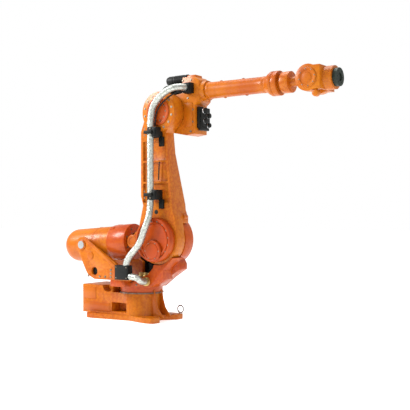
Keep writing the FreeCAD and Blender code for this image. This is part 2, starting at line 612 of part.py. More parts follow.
def make_wrist():
    axis_z = "shoulder_z + arm_rise + elbow_rise"
    bend_x = "shoulder_x + arm_lean + forearm_reach"
    tip_x = f"{bend_x} + flange_reach"
    spigot = cylinder("wrist_spigot", "ring2_rear - ring1_front - running_gap",
                      "ring1_front + running_gap", "0", axis_z, FRONT)
    ring = cylinder("ring2_radius", "ring2_front - ring2_rear", "ring2_rear", "0", axis_z, FRONT)
    neck = cylinder("neck_shaft_radius", f"{bend_x} - ring2_front", "ring2_front", "0", axis_z, FRONT)
    knuckle = cylinder("knuckle_radius", "knuckle_half * 2", bend_x, "-knuckle_half",
                       axis_z, ALONG_Y)
    part("wrist_housing", fuse(spigot, ring, neck, knuckle))
    discs = [cylinder("head_radius", "head_wall", bend_x, start, axis_z, ALONG_Y)
             for start in ("-head_half", "head_half - head_wall")]
    inner = "head_half - head_wall"
    cheeks = box(bend_x, f"{bend_x} + nose_rear", "-head_half", "head_half",
                 f"{axis_z} - nose_radius", f"{axis_z} + nose_radius")
    hollow = box(f"{bend_x} - 200", f"{bend_x} + knuckle_radius + side_gap * 3", f"-({inner})",
                 inner, f"{axis_z} - 200", f"{axis_z} + 200")
    nose = cylinder("nose_radius", "flange_reach - flange_thick - running_gap - nose_rear",
                    f"{bend_x} + nose_rear", "0", axis_z, FRONT)
    part("wrist_head", fuse(cut(fuse(cheeks, *discs), hollow), nose))
    for label, start in (("axis5_cover_right", "-head_half - bend_cover_thick"),
                         ("axis5_cover_left", "head_half")):
        part(label, cylinder("bend_cover_radius", "bend_cover_thick", bend_x, start,
                             axis_z, ALONG_Y))
    part("axis5_gear_cap", cylinder(
        "plug5_radius", "plug5_thick", f"{bend_x} + plug5_dx", "-head_half + 6",
        f"{axis_z} - nose_radius - plug5_radius", ALONG_Y))
    disc = cylinder("flange_radius", "flange_thick", f"{tip_x} - flange_thick", "0",
                    axis_z, FRONT)
    bore = cylinder("flange_bore_radius", "flange_bore_depth + 1",
                    f"{tip_x} - flange_bore_depth", "0", axis_z, FRONT)
    holes = []
    for step in range(6):
        angle = step * 60
        holes.append(cylinder(
            "flange_bolt_radius", "flange_thick", f"{tip_x} - flange_thick * 0.6",
            f"flange_bolt_circle * cos({angle} deg)",
            f"{axis_z} + flange_bolt_circle * sin({angle} deg)", FRONT))
    part("tool_flange", cut(disc, bore, *holes))


def tube(points, radius):
    """A round tube along straight runs joined by tangent arcs.

    Each arc takes 0.48 of the shorter run beside it. Prints the smallest radius.
    """
    corners = [Vector(*p) for p in points]
    edges, radii, at = [], [], corners[0]
    for before, corner, after in zip(corners, corners[1:], corners[2:]):
        back, ahead = before - corner, after - corner
        trim = 0.48 * min(back.Length, ahead.Length)
        half = back.getAngle(ahead) / 2
        start = corner + back.normalize() * trim
        end = corner + ahead.normalize() * trim
        radii.append(trim * math.tan(half))
        inward = (back + ahead).normalize()
        middle = corner + inward * (trim / math.cos(half) - radii[-1])
        edges.append(Part.LineSegment(at, start).toShape())
        edges.append(Part.Arc(start, middle, end).toShape())
        at = end
    edges.append(Part.LineSegment(at, corners[-1]).toShape())
    path = Part.Wire(edges)
    ring = Part.Wire(Part.makeCircle(radius, corners[0], corners[1] - corners[0]))
    solid = path.makePipeShell([ring], True, False)
    print(f"tube of {path.Length:.0f} mm, smallest bend {min(radii):.0f} mm, volume over "
          f"section times length {solid.Volume / (math.pi * radius ** 2 * path.Length):.4f}")
    return solid


def hose(label, points, radius):
    """A hose as a shape of its own, along points given by expressions."""
    route = doc.addObject("Part::Feature", "route")
    route.Shape = tube([[value(c) for c in p] for p in points], value(radius))
    return part(label, route)


def make_hoses():
    """The sleeve from the turret socket up the arm to the elbow, and a thin cable."""
    box_y = f"{CLAMPBOX_Y} - clampbox_depth / 2"
    box_end = "clampbox_x + clampbox_length"
    exit_z, socket_y = "clampbox_floor + hose_radius", "-near_wall_y - socket_length"
    hose("turret_hose", [
        (box_end, box_y, exit_z), ("socket_x - 13", box_y, exit_z),
        ("socket_x", f"{socket_y} - 49", "socket_z"), ("socket_x", socket_y, "socket_z")],
        "hose_radius")
    outside = "-disk_face_y - cover2_thick - hose_radius - side_gap"
    hose("shoulder_hose", [
        (f"{box_end} - 40", box_y, "clampbox_top"), (f"{box_end} - 40", box_y, "clampbox_top + 48"),
        ("hose_x - 76", outside, "shoulder_z - 36"), ("hose_x - 28", outside, "shoulder_z + 88"),
        ("hose_x + 10", f"{outside} + 9", "shoulder_z + 178"),
        ("hose_x", "-hose_y", "low_clamp_z - 100"),
        ("hose_x", "-hose_y", "low_clamp_z - clamp_half")], "hose_radius")
    elbow_x, elbow_z = "shoulder_x + arm_lean", "shoulder_z + arm_rise"
    axis_z = f"{elbow_z} + elbow_rise"
    entry_y = "-casting_near_y - entry_depth"
    hose("elbow_hose", [
        ("hose_x", "-hose_y", "high_clamp_z + clamp_half"), ("hose_x", "-hose_y", f"{elbow_z} - 57"),
        (f"{elbow_x} - 14", "-hose_y", f"{elbow_z} + 63"),
        (f"{elbow_x} + 121", "-hose_y", f"{axis_z} - 8"),
        ("entry_x - 8", f"{entry_y} - 88", f"{axis_z} + 22"),
        ("entry_x - 8", entry_y, f"{axis_z} + 22")], "hose_radius")
    under = "-elbow_boss_face_y - cover3_thick - cable_radius - swing_gap"
    hose("elbow_cable", [
        (f"{elbow_x} - 14", under, "high_clamp_z + clamp_half"),
        (f"{elbow_x} - 14", under, f"{elbow_z} - 92"),
        (f"{elbow_x} + 12", f"{under} - 4", f"{elbow_z} + 20"),
        (f"{elbow_x} + 136", under, f"{elbow_z} + 118"),
        ("entry_x - 24", f"{entry_y} - 55", f"{axis_z} - 15"),
        ("entry_x - 24", entry_y, f"{axis_z} - 15")], "cable_radius")


def write_parts():
    """Checks every object, then writes each sub-part to its own file."""
    doc.recompute()
    for thing in doc.Objects:
        if {"Invalid", "Error"} & set(thing.State):
            raise RuntimeError(f"{thing.Label} failed: {thing.State}")
    os.makedirs("parts", exist_ok=True)
    for thing in parts:
        shape = thing.Shape
        if shape.isNull() or not shape.isValid() or len(shape.Solids) != 1:
            raise RuntimeError(f"{thing.Label} is not one valid solid")
    for thing in parts:
        thing.Shape.exportStep(os.path.join("parts", f"{thing.Label}.step"))
        bounds = thing.Shape.BoundBox
        print(f"{thing.Label:26s} {thing.Shape.Volume / 1e6:9.2f} l  "
              f"x {bounds.XMin:7.1f} {bounds.XMax:7.1f}  y {bounds.YMin:7.1f} "
              f"{bounds.YMax:7.1f}  z {bounds.ZMin:7.1f} {bounds.ZMax:7.1f}")


fill_sheet()
make_base_casting()
make_base_fittings()
make_turret_casting()
make_brackets()
make_turret_fittings()
make_balancer()
make_rod()
make_upper_arm()
make_arm_fittings()
make_elbow()
make_wrist()
make_hoses()
write_parts()
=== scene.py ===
"""The visual model of a floor-standing industrial robot arm, built around its CAD frame."""
import json
import logging
import math
from dataclasses import dataclass, field
from enum import Enum
from typing import Sequence

import bmesh
import bpy
from mathutils import Matrix, Vector, noise


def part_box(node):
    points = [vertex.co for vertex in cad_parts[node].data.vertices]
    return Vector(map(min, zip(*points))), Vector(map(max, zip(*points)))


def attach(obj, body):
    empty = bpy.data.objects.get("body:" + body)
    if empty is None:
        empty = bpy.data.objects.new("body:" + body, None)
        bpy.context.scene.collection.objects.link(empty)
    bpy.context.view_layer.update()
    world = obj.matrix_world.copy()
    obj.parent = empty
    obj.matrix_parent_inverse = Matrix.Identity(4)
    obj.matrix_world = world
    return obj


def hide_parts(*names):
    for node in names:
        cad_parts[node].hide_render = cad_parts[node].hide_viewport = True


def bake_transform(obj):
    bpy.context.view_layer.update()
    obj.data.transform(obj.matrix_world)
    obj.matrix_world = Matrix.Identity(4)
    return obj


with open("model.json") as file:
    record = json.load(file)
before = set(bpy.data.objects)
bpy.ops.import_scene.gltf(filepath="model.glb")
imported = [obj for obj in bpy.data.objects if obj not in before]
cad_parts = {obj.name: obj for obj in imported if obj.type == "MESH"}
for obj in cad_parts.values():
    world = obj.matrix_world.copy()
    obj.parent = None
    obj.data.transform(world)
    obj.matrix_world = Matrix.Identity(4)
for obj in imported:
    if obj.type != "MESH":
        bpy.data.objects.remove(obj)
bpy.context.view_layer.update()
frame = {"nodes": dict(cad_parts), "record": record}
log = logging.getLogger("robot_arm")

MM = 0.001
Point = tuple[float, float, float]
Colour = tuple[float, float, float]


class Body(str, Enum):
    """The moving bodies of the arm."""
    BASE = "base"
    TURRET = "turret"
    BARREL = "balancer_barrel"
    PISTON = "balancer_piston"
    ARM = "upper_arm"
    FOREARM = "forearm"
    ROLL = "wrist_roll"
    BEND = "wrist_bend"
    FLANGE = "tool_flange"


class Slot(str, Enum):
    """The finishes that the record names."""
    PAINT = "orange_paint"
    HOUSING = "dark_housing"
    PLASTIC = "black_plastic"
    IRON = "cast_iron"
    STEEL = "bright_steel"
    GREEN = "dark_green_steel"
    SLEEVE = "hose_sleeve"
    RUBBER = "cable_rubber"
    BRASS = "brass_fitting"


class Axis(Enum):
    """The direction that a turned piece grows in."""
    X = (1.0, 0.0, 0.0)
    Y = (0.0, 1.0, 0.0)
    Z = (0.0, 0.0, 1.0)
    BACK = (-1.0, 0.0, 0.0)
    NEAR = (0.0, -1.0, 0.0)

    @property
    def vector(self) -> Vector:
        """The direction as a vector."""
        return Vector(self.value)


# ------------------------------------------------------------------ shader maths

class Value:
    """A shader socket whose operators add Math nodes."""

    def __init__(self, graph: "Graph", socket: bpy.types.NodeSocket) -> None:
        """Wraps one output socket of a graph."""
        self.graph, self.socket = graph, socket

    def _math(self, operation: str, first: object, second: object = 0.0) -> "Value":
        """One Math node.

        Args:
            operation: the node's operation.
            first: a number or a value.
            second: a number or a value.

        Returns:
            The node's result.
        """
        return self.graph.node("ShaderNodeMath", {"operation": operation},
                               {0: first, 1: second})

    def __add__(self, other: object) -> "Value":
        """self + other."""
        return self._math("ADD", self, other)

    __radd__ = __add__

    def __mul__(self, other: object) -> "Value":
        """self * other."""
        return self._math("MULTIPLY", self, other)

    __rmul__ = __mul__

    def __sub__(self, other: object) -> "Value":
        """self - other."""
        return self._math("SUBTRACT", self, other)

    def __rsub__(self, other: object) -> "Value":
        """other - self."""
        return self._math("SUBTRACT", other, self)

    def limited(self) -> "Value":
        """The value held between 0 and 1."""
        return self.graph.node("ShaderNodeClamp", {}, {0: self})


class Graph:
    """The node tree of one material."""

    def __init__(self, name: str) -> None:
        """Starts an empty material of that name."""
        self.material = bpy.data.materials.new(name)
        self.material.use_nodes = True
        self.tree = self.material.node_tree
        self.tree.nodes.clear()

    def node(self, kind: str, settings: dict[str, object], inputs: dict[object, object],
             output: int | str = 0) -> Value:
        """Adds any node.

        Args:
            kind: the node's type.
            settings: its settings, set first.
            inputs: numbers, colours or values by socket name or number.
            output: the output that is wanted.

        Returns:
            The wanted output.
        """
        made = self.tree.nodes.new(kind)
        for key, setting in settings.items():
            setattr(made, key, setting)
        for key, given in inputs.items():
            socket = made.inputs[key]
            if isinstance(given, Value):
                self.tree.links.new(given.socket, socket)
            elif socket.type == "RGBA" and isinstance(given, tuple):
                socket.default_value = (*given[:3], 1.0)
            else:
                socket.default_value = given
        return Value(self, made.outputs[output])

    def place(self) -> Value:
        """The point on the object, in metres."""
        return self.node("ShaderNodeTexCoord", {}, {}, "Object")

    def noise(self, scale: float, detail: float = 4.0, roughness: float = 0.55,
              where: Value | None = None) -> Value:
        """Soft noise between 0 and 1.

        Args:
            scale: its features per metre.
            detail: how many finer layers it has.
            roughness: how strong those are.
            where: the point, or None for the object's own.

        Returns:
            The noise value.
        """
        return self.node("ShaderNodeTexNoise", {}, {
            "Vector": where or self.place(), "Scale": scale, "Detail": detail,
            "Roughness": roughness})

    def ramp(self, value: Value, low: float, high: float) -> Value:
        """The value stretched so that low becomes 0 and high becomes 1, held between."""
        return self.node("ShaderNodeMapRange", {"clamp": True},
                         {0: value, 1: low, 2: high, 3: 0.0, 4: 1.0})

    def blend(self, share: object, first: object, second: object) -> Value:
        """Mixes two colours.

        Args:
            share: how much of the second, 0 to 1.
            first: a colour or a value.
            second: a colour or a value.

        Returns:
            The mixed colour.
        """
        return self.node("ShaderNodeMix", {"data_type": "RGBA"},
                         {0: share, 6: first, 7: second}, 2)

    def finish(self, colour: object, roughness: object, metallic: object = 0.0,
               coat: float = 0.0, bump: Value | None = None, depth: float = 0.001,
               specular: float = 0.5) -> bpy.types.Material:
        """Closes the material.

        Args:
            colour: the base colour.
            roughness: the roughness.
            metallic: how metallic it is.
            coat: the weight of a clear coat.
            bump: a height between 0 and 1, or None.
            depth: how deep that height goes, in metres.
            specular: the specular level.

        Returns:
            The finished material.
        """
        inputs = {"Base Color": colour, "Roughness": roughness, "Metallic": metallic,
                  "Coat Weight": coat, "Coat Roughness": 0.12, "Specular IOR Level": specular}
        if bump is not None:
            inputs["Normal"] = self.node("ShaderNodeBump", {}, {
                "Height": bump, "Distance": depth, "Strength": 0.6})
        shader = self.node("ShaderNodeBsdfPrincipled", {}, inputs)
        output = self.tree.nodes.new("ShaderNodeOutputMaterial")
        self.tree.links.new(shader.socket, output.inputs[0])
        return self.material


# ------------------------------------------------------------------ finishes

@dataclass(frozen=True)
class PaintFinish:
    """Glossy two-pack paint over cast iron, with dust, streaks, and edges lightened as worn paint
    and as a painted rim highlight.
    """
    name: str
    body: Colour
    light: Colour
    dark: Colour
    texture: float = 0.0004

    def build(self) -> bpy.types.Material:
        """Makes the material."""
        g = Graph(self.name)
        broad = g.ramp(g.noise(3.2, 3.0), 0.35, 0.68)
        grime = g.ramp(g.noise(14.0, 6.0, 0.7), 0.52, 0.74)
        specks = g.ramp(g.noise(160.0, 2.0), 0.66, 0.72)
        colour = g.blend(broad * 0.55, self.body, self.light)
        colour = g.blend(grime * 0.4, colour, self.dark)
        edge = g.node("ShaderNodeAttribute", {"attribute_name": "edge"}, {}, "Fac")
        # Edges blend towards the light colour: partly worn paint, partly a painted highlight
        # along the rims.
        rubbed_and_rim_highlight = (edge * g.ramp(g.noise(46.0, 4.0), 0.42, 0.6)).limited()
        colour = g.blend(rubbed_and_rim_highlight * 0.55, colour, self.light)
        colour = g.blend(specks * 0.5, colour, self.dark)
        rough = grime * 0.22 + g.noise(30.0) * 0.12 + 0.2
        skin = g.noise(260.0, 2.0) * 0.6 + g.noise(38.0, 3.0) * 0.4
        return g.finish(colour, rough + 0.06, 0.0, 0.10, skin, self.texture, 0.22)


@dataclass(frozen=True)
class MetalFinish:
    """Bare or blackened metal with machining marks and stains."""
    name: str
    colour: Colour
    stain: Colour
    roughness: float = 0.32
    metallic: float = 1.0
    grain: float = 240.0

    def build(self) -> bpy.types.Material:
        """Makes the material."""
        g = Graph(self.name)
        patches = g.ramp(g.noise(22.0, 5.0, 0.65), 0.42, 0.7)
        colour = g.blend(patches * 0.6, self.colour, self.stain)
        rough = patches * 0.25 + g.noise(90.0, 2.0) * 0.12 + (self.roughness - 0.06)
        return g.finish(colour, rough, self.metallic, 0.0, g.noise(self.grain, 2.0), 0.0003)


@dataclass(frozen=True)
class PlasticFinish:
    """Matt moulded plastic, rubber or powder coat with a fine grain and scuffs."""
    name: str
    colour: Colour
    scuff: Colour
    roughness: float = 0.5
    grain: float = 700.0

    def build(self) -> bpy.types.Material:
        """Makes the material."""
        g = Graph(self.name)
        worn = g.ramp(g.noise(26.0, 6.0, 0.7), 0.55, 0.8)
        colour = g.blend(worn * 0.7, self.colour, self.scuff)
        rough = worn * 0.2 + g.noise(60.0, 2.0) * 0.1 + (self.roughness - 0.05)
        return g.finish(colour, rough, 0.0, 0.0, g.noise(self.grain, 2.0), 0.0003, 0.25)


@dataclass(frozen=True)
class SleeveFinish:
    """Crinkled aluminised cloth over a hose bundle, with painted shade in its folds; it follows
    the sleeve's own UV map.
    """
    name: str
    colour: Colour
    shade: Colour

    def build(self) -> bpy.types.Material:
        """Makes the material."""
        g = Graph(self.name)
        around = g.node("ShaderNodeUVMap", {"uv_map": "length"}, {}, "UV")
        folds = g.noise(70.0, 5.0, 0.6, around)
        weave = g.node("ShaderNodeTexWave", {"bands_direction": "X"}, {
            "Vector": around, "Scale": 160.0, "Distortion": 2.0, "Detail": 2.0}, "Fac")
        # The folds blend towards the shade colour: painted shade in the creases; the same colour
        # also tints random patches of soil.
        crease_shadow = g.ramp(folds, 0.4, 0.72)
        soil = g.ramp(g.noise(9.0, 3.0), 0.45, 0.75)
        colour = g.blend(crease_shadow, self.colour, self.shade)
        colour = g.blend(soil * 0.35, colour, self.shade)
        rough = crease_shadow * 0.2 + 0.26
        return g.finish(colour, rough, 0.75, 0.0, folds * 0.8 + weave * 0.2, 0.0022)


@dataclass(frozen=True)
class FloorFinish:
    """The plain pale floor."""
    name: str
    colour: Colour
    glow: float = 0.55

    def build(self) -> bpy.types.Material:
        """Makes the material."""
        g = Graph(self.name)
        tint = tuple(c * 0.97 for c in self.colour)
        made = g.finish(g.blend(g.noise(1.5, 2.0), self.colour, tint), 0.75)
        shader = next(n for n in made.node_tree.nodes if n.type == "BSDF_PRINCIPLED")
        shader.inputs["Emission Color"].default_value = (1.0, 1.0, 1.0, 1.0)
        shader.inputs["Emission Strength"].default_value = self.glow
        return made


class Finishes:
    """Every finish of the arm, made once."""

    def __init__(self) -> None:
        """Builds the materials."""
        self.paint = PaintFinish("orange_paint_gloss", (0.42, 0.080, 0.003),
                                 (0.62, 0.20, 0.006), (0.18, 0.026, 0.003)).build()
        # A darker, redder copy of the orange paint: painted shade, for the turret, the shoulder
        # disc, the covers and the balancer's cap and lugs, which sit in shadow.
        self.shaded_paint = PaintFinish("shaded_orange_paint", (0.38, 0.044, 0.003),
                                     (0.52, 0.10, 0.005), (0.15, 0.013, 0.003)).build()
        self.housing = PlasticFinish("black_powder_coat", (0.006, 0.007, 0.006),
                                     (0.025, 0.026, 0.022), 0.5, 900.0).build()
        self.plastic = PlasticFinish("black_moulding", (0.004, 0.005, 0.004),
                                     (0.020, 0.022, 0.018), 0.55).build()
        self.rubber = PlasticFinish("cable_rubber_sheath", (0.012, 0.012, 0.012),
                                    (0.06, 0.058, 0.05), 0.6, 400.0).build()
        self.iron = MetalFinish("machined_iron", (0.20, 0.14, 0.11), (0.10, 0.035, 0.015),
                                0.45).build()
        self.steel = MetalFinish("turned_steel", (0.56, 0.57, 0.58), (0.30, 0.28, 0.25),
                                 0.26).build()
        self.screw = MetalFinish("zinc_screws", (0.34, 0.30, 0.24), (0.12, 0.07, 0.04),
                                 0.38).build()
        self.green = MetalFinish("blackened_flange", (0.020, 0.032, 0.022),
                                 (0.015, 0.02, 0.016), 0.4, 0.5).build()
        self.brass = MetalFinish("dull_brass", (0.52, 0.38, 0.14), (0.20, 0.12, 0.04),
                                 0.34).build()
        self.sleeve = SleeveFinish("aluminised_sleeve", (0.60, 0.62, 0.57),
                                   (0.24, 0.27, 0.23)).build()
        self.floor = FloorFinish("pale_floor", (0.95, 0.95, 0.95)).build()


# ------------------------------------------------------------------ mesh building

class Shape:
    """Collects closed solids in one mesh and hands it over as a piece."""

    def __init__(self, name: str) -> None:
        """Starts an empty piece."""
        self.name, self.mesh = name, bmesh.new()

    def box(self, low: Sequence[float], high: Sequence[float], taper: float = 1.0) -> "Shape":
        """Adds a box.

        Args:
            low: its lowest corner.
            high: its highest corner.
            taper: the size of its top against its foot.

        Returns:
            This shape.
        """
        made = bmesh.ops.create_cube(self.mesh, size=1.0)["verts"]
        low, high = Vector(low), Vector(high)
        for vert in made:
            scale = taper if vert.co.z > 0 else 1.0
            flat = Vector((vert.co.x * scale, vert.co.y * scale, vert.co.z))
            vert.co = Vector([(a + b) / 2 + f * (b - a) for a, b, f in zip(low, high, flat)])
        return self

    def turned(self, outline: Sequence[tuple[float, float]], at: Sequence[float],
               axis: Axis | Vector, sides: int = 72) -> "Shape":
        """Adds a turned solid.

        Args:
            outline: radius and height pairs from the foot to the top.
            at: the foot's centre.
            axis: the direction it grows in.
            sides: how many sides go round it.

        Returns:
            This shape.
        """
        up = axis.vector if isinstance(axis, Axis) else Vector(axis).normalized()
        turn = up.to_track_quat("Z", "Y").to_matrix().to_4x4()
        place = Matrix.Translation(Vector(at)) @ turn
        rings: list[list[bmesh.types.BMVert]] = []
        for radius, height in outline:
            rings.append([self.mesh.verts.new(place @ Vector((
                radius * math.cos(math.tau * k / sides),
                radius * math.sin(math.tau * k / sides), height))) for k in range(sides)])
        for below, above in zip(rings, rings[1:]):
            for k in range(sides):
                self.mesh.faces.new((below[k], below[(k + 1) % sides],
                                     above[(k + 1) % sides], above[k]))
        self.mesh.faces.new(list(reversed(rings[0])))
        self.mesh.faces.new(rings[-1])
        return self

    def prism(self, points: Sequence[Sequence[float]], shift: Sequence[float]) -> "Shape":
        """Adds a prism: a flat outline carried along a vector.

        Args:
            points: the outline's corners.
            shift: how far and where it is carried.

        Returns:
            This shape.
        """
        foot = [self.mesh.verts.new(Vector(p)) for p in points]
        head = [self.mesh.verts.new(Vector(p) + Vector(shift)) for p in points]
        self.mesh.faces.new(foot)
        self.mesh.faces.new(head)
        for k in range(len(foot)):
            after = (k + 1) % len(foot)
            self.mesh.faces.new((foot[k], foot[after], head[after], head[k]))
        return self

    def piece(self, material: bpy.types.Material, body: Body, slot: Slot,
              edge: float = 0.0015, smooth: float = 35.0) -> bpy.types.Object:
        """Turns the solids into a piece that rides on a body.

        Args:
            material: its finish.
            body: the body it moves with.
            slot: the record's finish that it stands for; not used.
            edge: how far its edges are rounded, in metres.
            smooth: the angle above which an edge stays sharp, in degrees.

        Returns:
            The piece.
        """
        bmesh.ops.recalc_face_normals(self.mesh, faces=self.mesh.faces)
        data = bpy.data.meshes.new(self.name)
        self.mesh.to_mesh(data)
        self.mesh.free()
        return dress(bpy.data.objects.new(self.name, data), material, body, edge, smooth)


def dress(made: bpy.types.Object, material: bpy.types.Material, body: Body,
          edge: float, smooth: float) -> bpy.types.Object:
    """Rounds, shades and hands over a piece.

    Args:
        made: the object.
        material: its finish.
        body: the body it moves with.
        edge: how far its edges are rounded, in metres.
        smooth: the angle above which an edge stays sharp, in degrees.

    Returns:
        The piece.
    """
    if made.name not in bpy.context.scene.collection.objects:
        bpy.context.scene.collection.objects.link(made)
    made.data.materials.clear()
    made.data.materials.append(material)
    if edge:
        rounding = made.modifiers.new("edges", "BEVEL")
        rounding.width, rounding.segments = edge, 2
        rounding.limit_method, rounding.angle_limit = "ANGLE", math.radians(32)
        rounding.use_clamp_overlap = True
        bake(made)
    made.data.polygons.foreach_set("use_smooth", [True] * len(made.data.polygons))
    made.data.set_sharp_from_angle(angle=math.radians(smooth))
    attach(made, body.value)
    log.info("%s: %d faces on %s", made.name, len(made.data.polygons), body.value)
    return made


def bake(made: bpy.types.Object) -> None:
    """Replaces an object's mesh with what its modifiers make of it."""
    bpy.context.view_layer.update()
    result = bpy.data.meshes.new_from_object(
        made.evaluated_get(bpy.context.evaluated_depsgraph_get()))
    made.modifiers.clear()
    made.data = result


def softened(node: str, material: bpy.types.Material, body: Body,
             edge: float = 0.005) -> bpy.types.Object:
    """A casting with rounded edges in place of a CAD node.

    Args:
        node: the CAD node.
        material: its finish.
        body: the body it moves with.
        edge: the radius of its edges, in metres.

    Returns:
        The piece.
    """
    solid = bmesh.new()
    solid.from_mesh(frame["nodes"][node].data)
    bmesh.ops.remove_doubles(solid, verts=solid.verts, dist=2e-5)
    bmesh.ops.dissolve_limit(solid, angle_limit=math.radians(1.5), verts=solid.verts,
                             edges=solid.edges)
    bmesh.ops.dissolve_degenerate(solid, edges=solid.edges, dist=2e-4)
    data = bpy.data.meshes.new(f"{node}_casting")
    solid.to_mesh(data)
    solid.free()
    made = bpy.data.objects.new(f"{node}_cast", data)
    made = dress(made, material, body, edge, 30.0)
    mark_edges(made.data)
    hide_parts(node)
    return made


def mark_edges(data: bpy.types.Mesh) -> None:
    """Stores how bent the surface is at each vertex, for the worn paint and the painted rim
    highlight on edges.
    """
    solid = bmesh.new()
    solid.from_mesh(data)
    bends = [0.0] * len(solid.verts)
    for line in solid.edges:
        angle = line.calc_face_angle(0.0)
        if math.radians(12) < angle < math.radians(80):
            for vert in line.verts:
                bends[vert.index] = max(bends[vert.index], min(angle / 0.5, 1.0))
    solid.free()
    stored = data.attributes.new("edge", "FLOAT", "POINT")
    stored.data.foreach_set("value", bends)


class ScrewSet:
    """Screw heads on one body: points that face outwards, dressed by Geometry Nodes."""

    tree: bpy.types.NodeTree | None = None

    def __init__(self, finishes: Finishes, body: Body) -> None:
        """Starts an empty set."""
        self.finishes, self.body = finishes, body
        self.spots: list[tuple[Vector, Vector, float]] = []

    def add(self, spot: Sequence[float], facing: Axis | Vector, size: float) -> None:
        """Adds one head of that radius, in metres."""
        direction = facing.vector if isinstance(facing, Axis) else facing
        self.spots.append((Vector(spot), direction, size))

    def circle(self, centre: Sequence[float], facing: Axis, radius: float, count: int,
               size: float, start: float = 0.0, sweep: float = 360.0) -> None:
        """Adds heads round a circle.

        Args:
            centre: the circle's centre.
            facing: the way the heads point.
            radius: the circle's radius, in metres.
            count: how many heads.
            size: each head's radius, in metres.
            start: the first head's angle, in degrees.
            sweep: the angle that they are spread over, in degrees.
        """
        turn = facing.vector.to_track_quat("Z", "Y").to_matrix()
        for k in range(count):
            angle = math.radians(start + sweep * k / count)
            offset = turn @ Vector((radius * math.cos(angle), radius * math.sin(angle), 0.0))
            self.add(Vector(centre) + offset, facing, size)

    @classmethod
    def nodes(cls) -> bpy.types.NodeTree:
        """The tree that puts a hexagon head on a washer at every point."""
        if cls.tree:
            return cls.tree
        tree = bpy.data.node_groups.new("screw_heads", "GeometryNodeTree")
        face = tree.interface
        face.new_socket("Geometry", in_out="INPUT", socket_type="NodeSocketGeometry")
        for name, number in (("Head Height", 0.75), ("Washer Radius", 1.45),
                             ("Washer Height", 0.2)):
            face.new_socket(name, in_out="INPUT", socket_type="NodeSocketFloat"
                            ).default_value = number
        face.new_socket("Finish", in_out="INPUT", socket_type="NodeSocketMaterial")
        face.new_socket("Geometry", in_out="OUTPUT", socket_type="NodeSocketGeometry")
        new, link = tree.nodes.new, tree.links.new
        given, result = new("NodeGroupInput"), new("NodeGroupOutput")

        def drum(sides: int, radius: object, height: object) -> bpy.types.Node:
            """A drum that stands on its foot."""
            made = new("GeometryNodeMeshCylinder")
            made.inputs["Vertices"].default_value = sides
            lift = new("GeometryNodeTransform")
            half, raise_by = new("ShaderNodeMath"), new("ShaderNodeCombineXYZ")
            half.operation = "MULTIPLY"
            half.inputs[1].default_value = 0.5
            if isinstance(radius, float):
                made.inputs["Radius"].default_value = radius
            else:
                link(radius, made.inputs["Radius"])
            link(height, made.inputs["Depth"])
            link(height, half.inputs[0])
            link(half.outputs[0], raise_by.inputs["Z"])
            link(made.outputs["Mesh"], lift.inputs["Geometry"])
            link(raise_by.outputs[0], lift.inputs["Translation"])
            return lift

        head = drum(6, 1.0, given.outputs["Head Height"])
        washer = drum(20, given.outputs["Washer Radius"], given.outputs["Washer Height"])
        join, put = new("GeometryNodeJoinGeometry"), new("GeometryNodeInstanceOnPoints")
        link(head.outputs[0], join.inputs[0])
        link(washer.outputs[0], join.inputs[0])
        facing, size = (new("GeometryNodeInputNamedAttribute") for _ in range(2))
        facing.data_type, size.data_type = "FLOAT_VECTOR", "FLOAT"
        facing.inputs["Name"].default_value, size.inputs["Name"].default_value = "facing", "size"
        turn = new("FunctionNodeAlignRotationToVector")
        turn.axis = "Z"
        real, paint = new("GeometryNodeRealizeInstances"), new("GeometryNodeSetMaterial")
        link(facing.outputs["Attribute"], turn.inputs["Vector"])
        link(given.outputs["Geometry"], put.inputs["Points"])
        link(join.outputs[0], put.inputs["Instance"])
        link(turn.outputs[0], put.inputs["Rotation"])
        link(size.outputs["Attribute"], put.inputs["Scale"])
        link(put.outputs[0], real.inputs[0])
        link(real.outputs[0], paint.inputs["Geometry"])
        link(given.outputs["Finish"], paint.inputs["Material"])
        link(paint.outputs[0], result.inputs[0])
        cls.tree = tree
        return tree

    def piece(self, name: str, material: bpy.types.Material, slot: Slot) -> bpy.types.Object:
        """Turns the set into one plain mesh that rides on the body.

        Args:
            name: the piece's name.
            material: the heads' finish.
            slot: the record's finish; not used.

        Returns:
            The piece.
        """
        data = bpy.data.meshes.new(name)
        data.from_pydata([tuple(spot) for spot, _, _ in self.spots], [], [])
        data.attributes.new("facing", "FLOAT_VECTOR", "POINT").data.foreach_set(
            "vector", [c for _, facing, _ in self.spots for c in facing])
        data.attributes.new("size", "FLOAT", "POINT").data.foreach_set(
            "value", [size for _, _, size in self.spots])
        made = bpy.data.objects.new(name, data)
        bpy.context.scene.collection.objects.link(made)
        dressing = made.modifiers.new("heads", "NODES")
        dressing.node_group = self.nodes()
        for item in dressing.node_group.interface.items_tree:
            if item.in_out == "INPUT" and item.name == "Finish":
                dressing[item.identifier] = material
        bake(made)
        return dress(made, material, self.body, 0.0, 30.0)


# ------------------------------------------------------------------ sub-assemblies

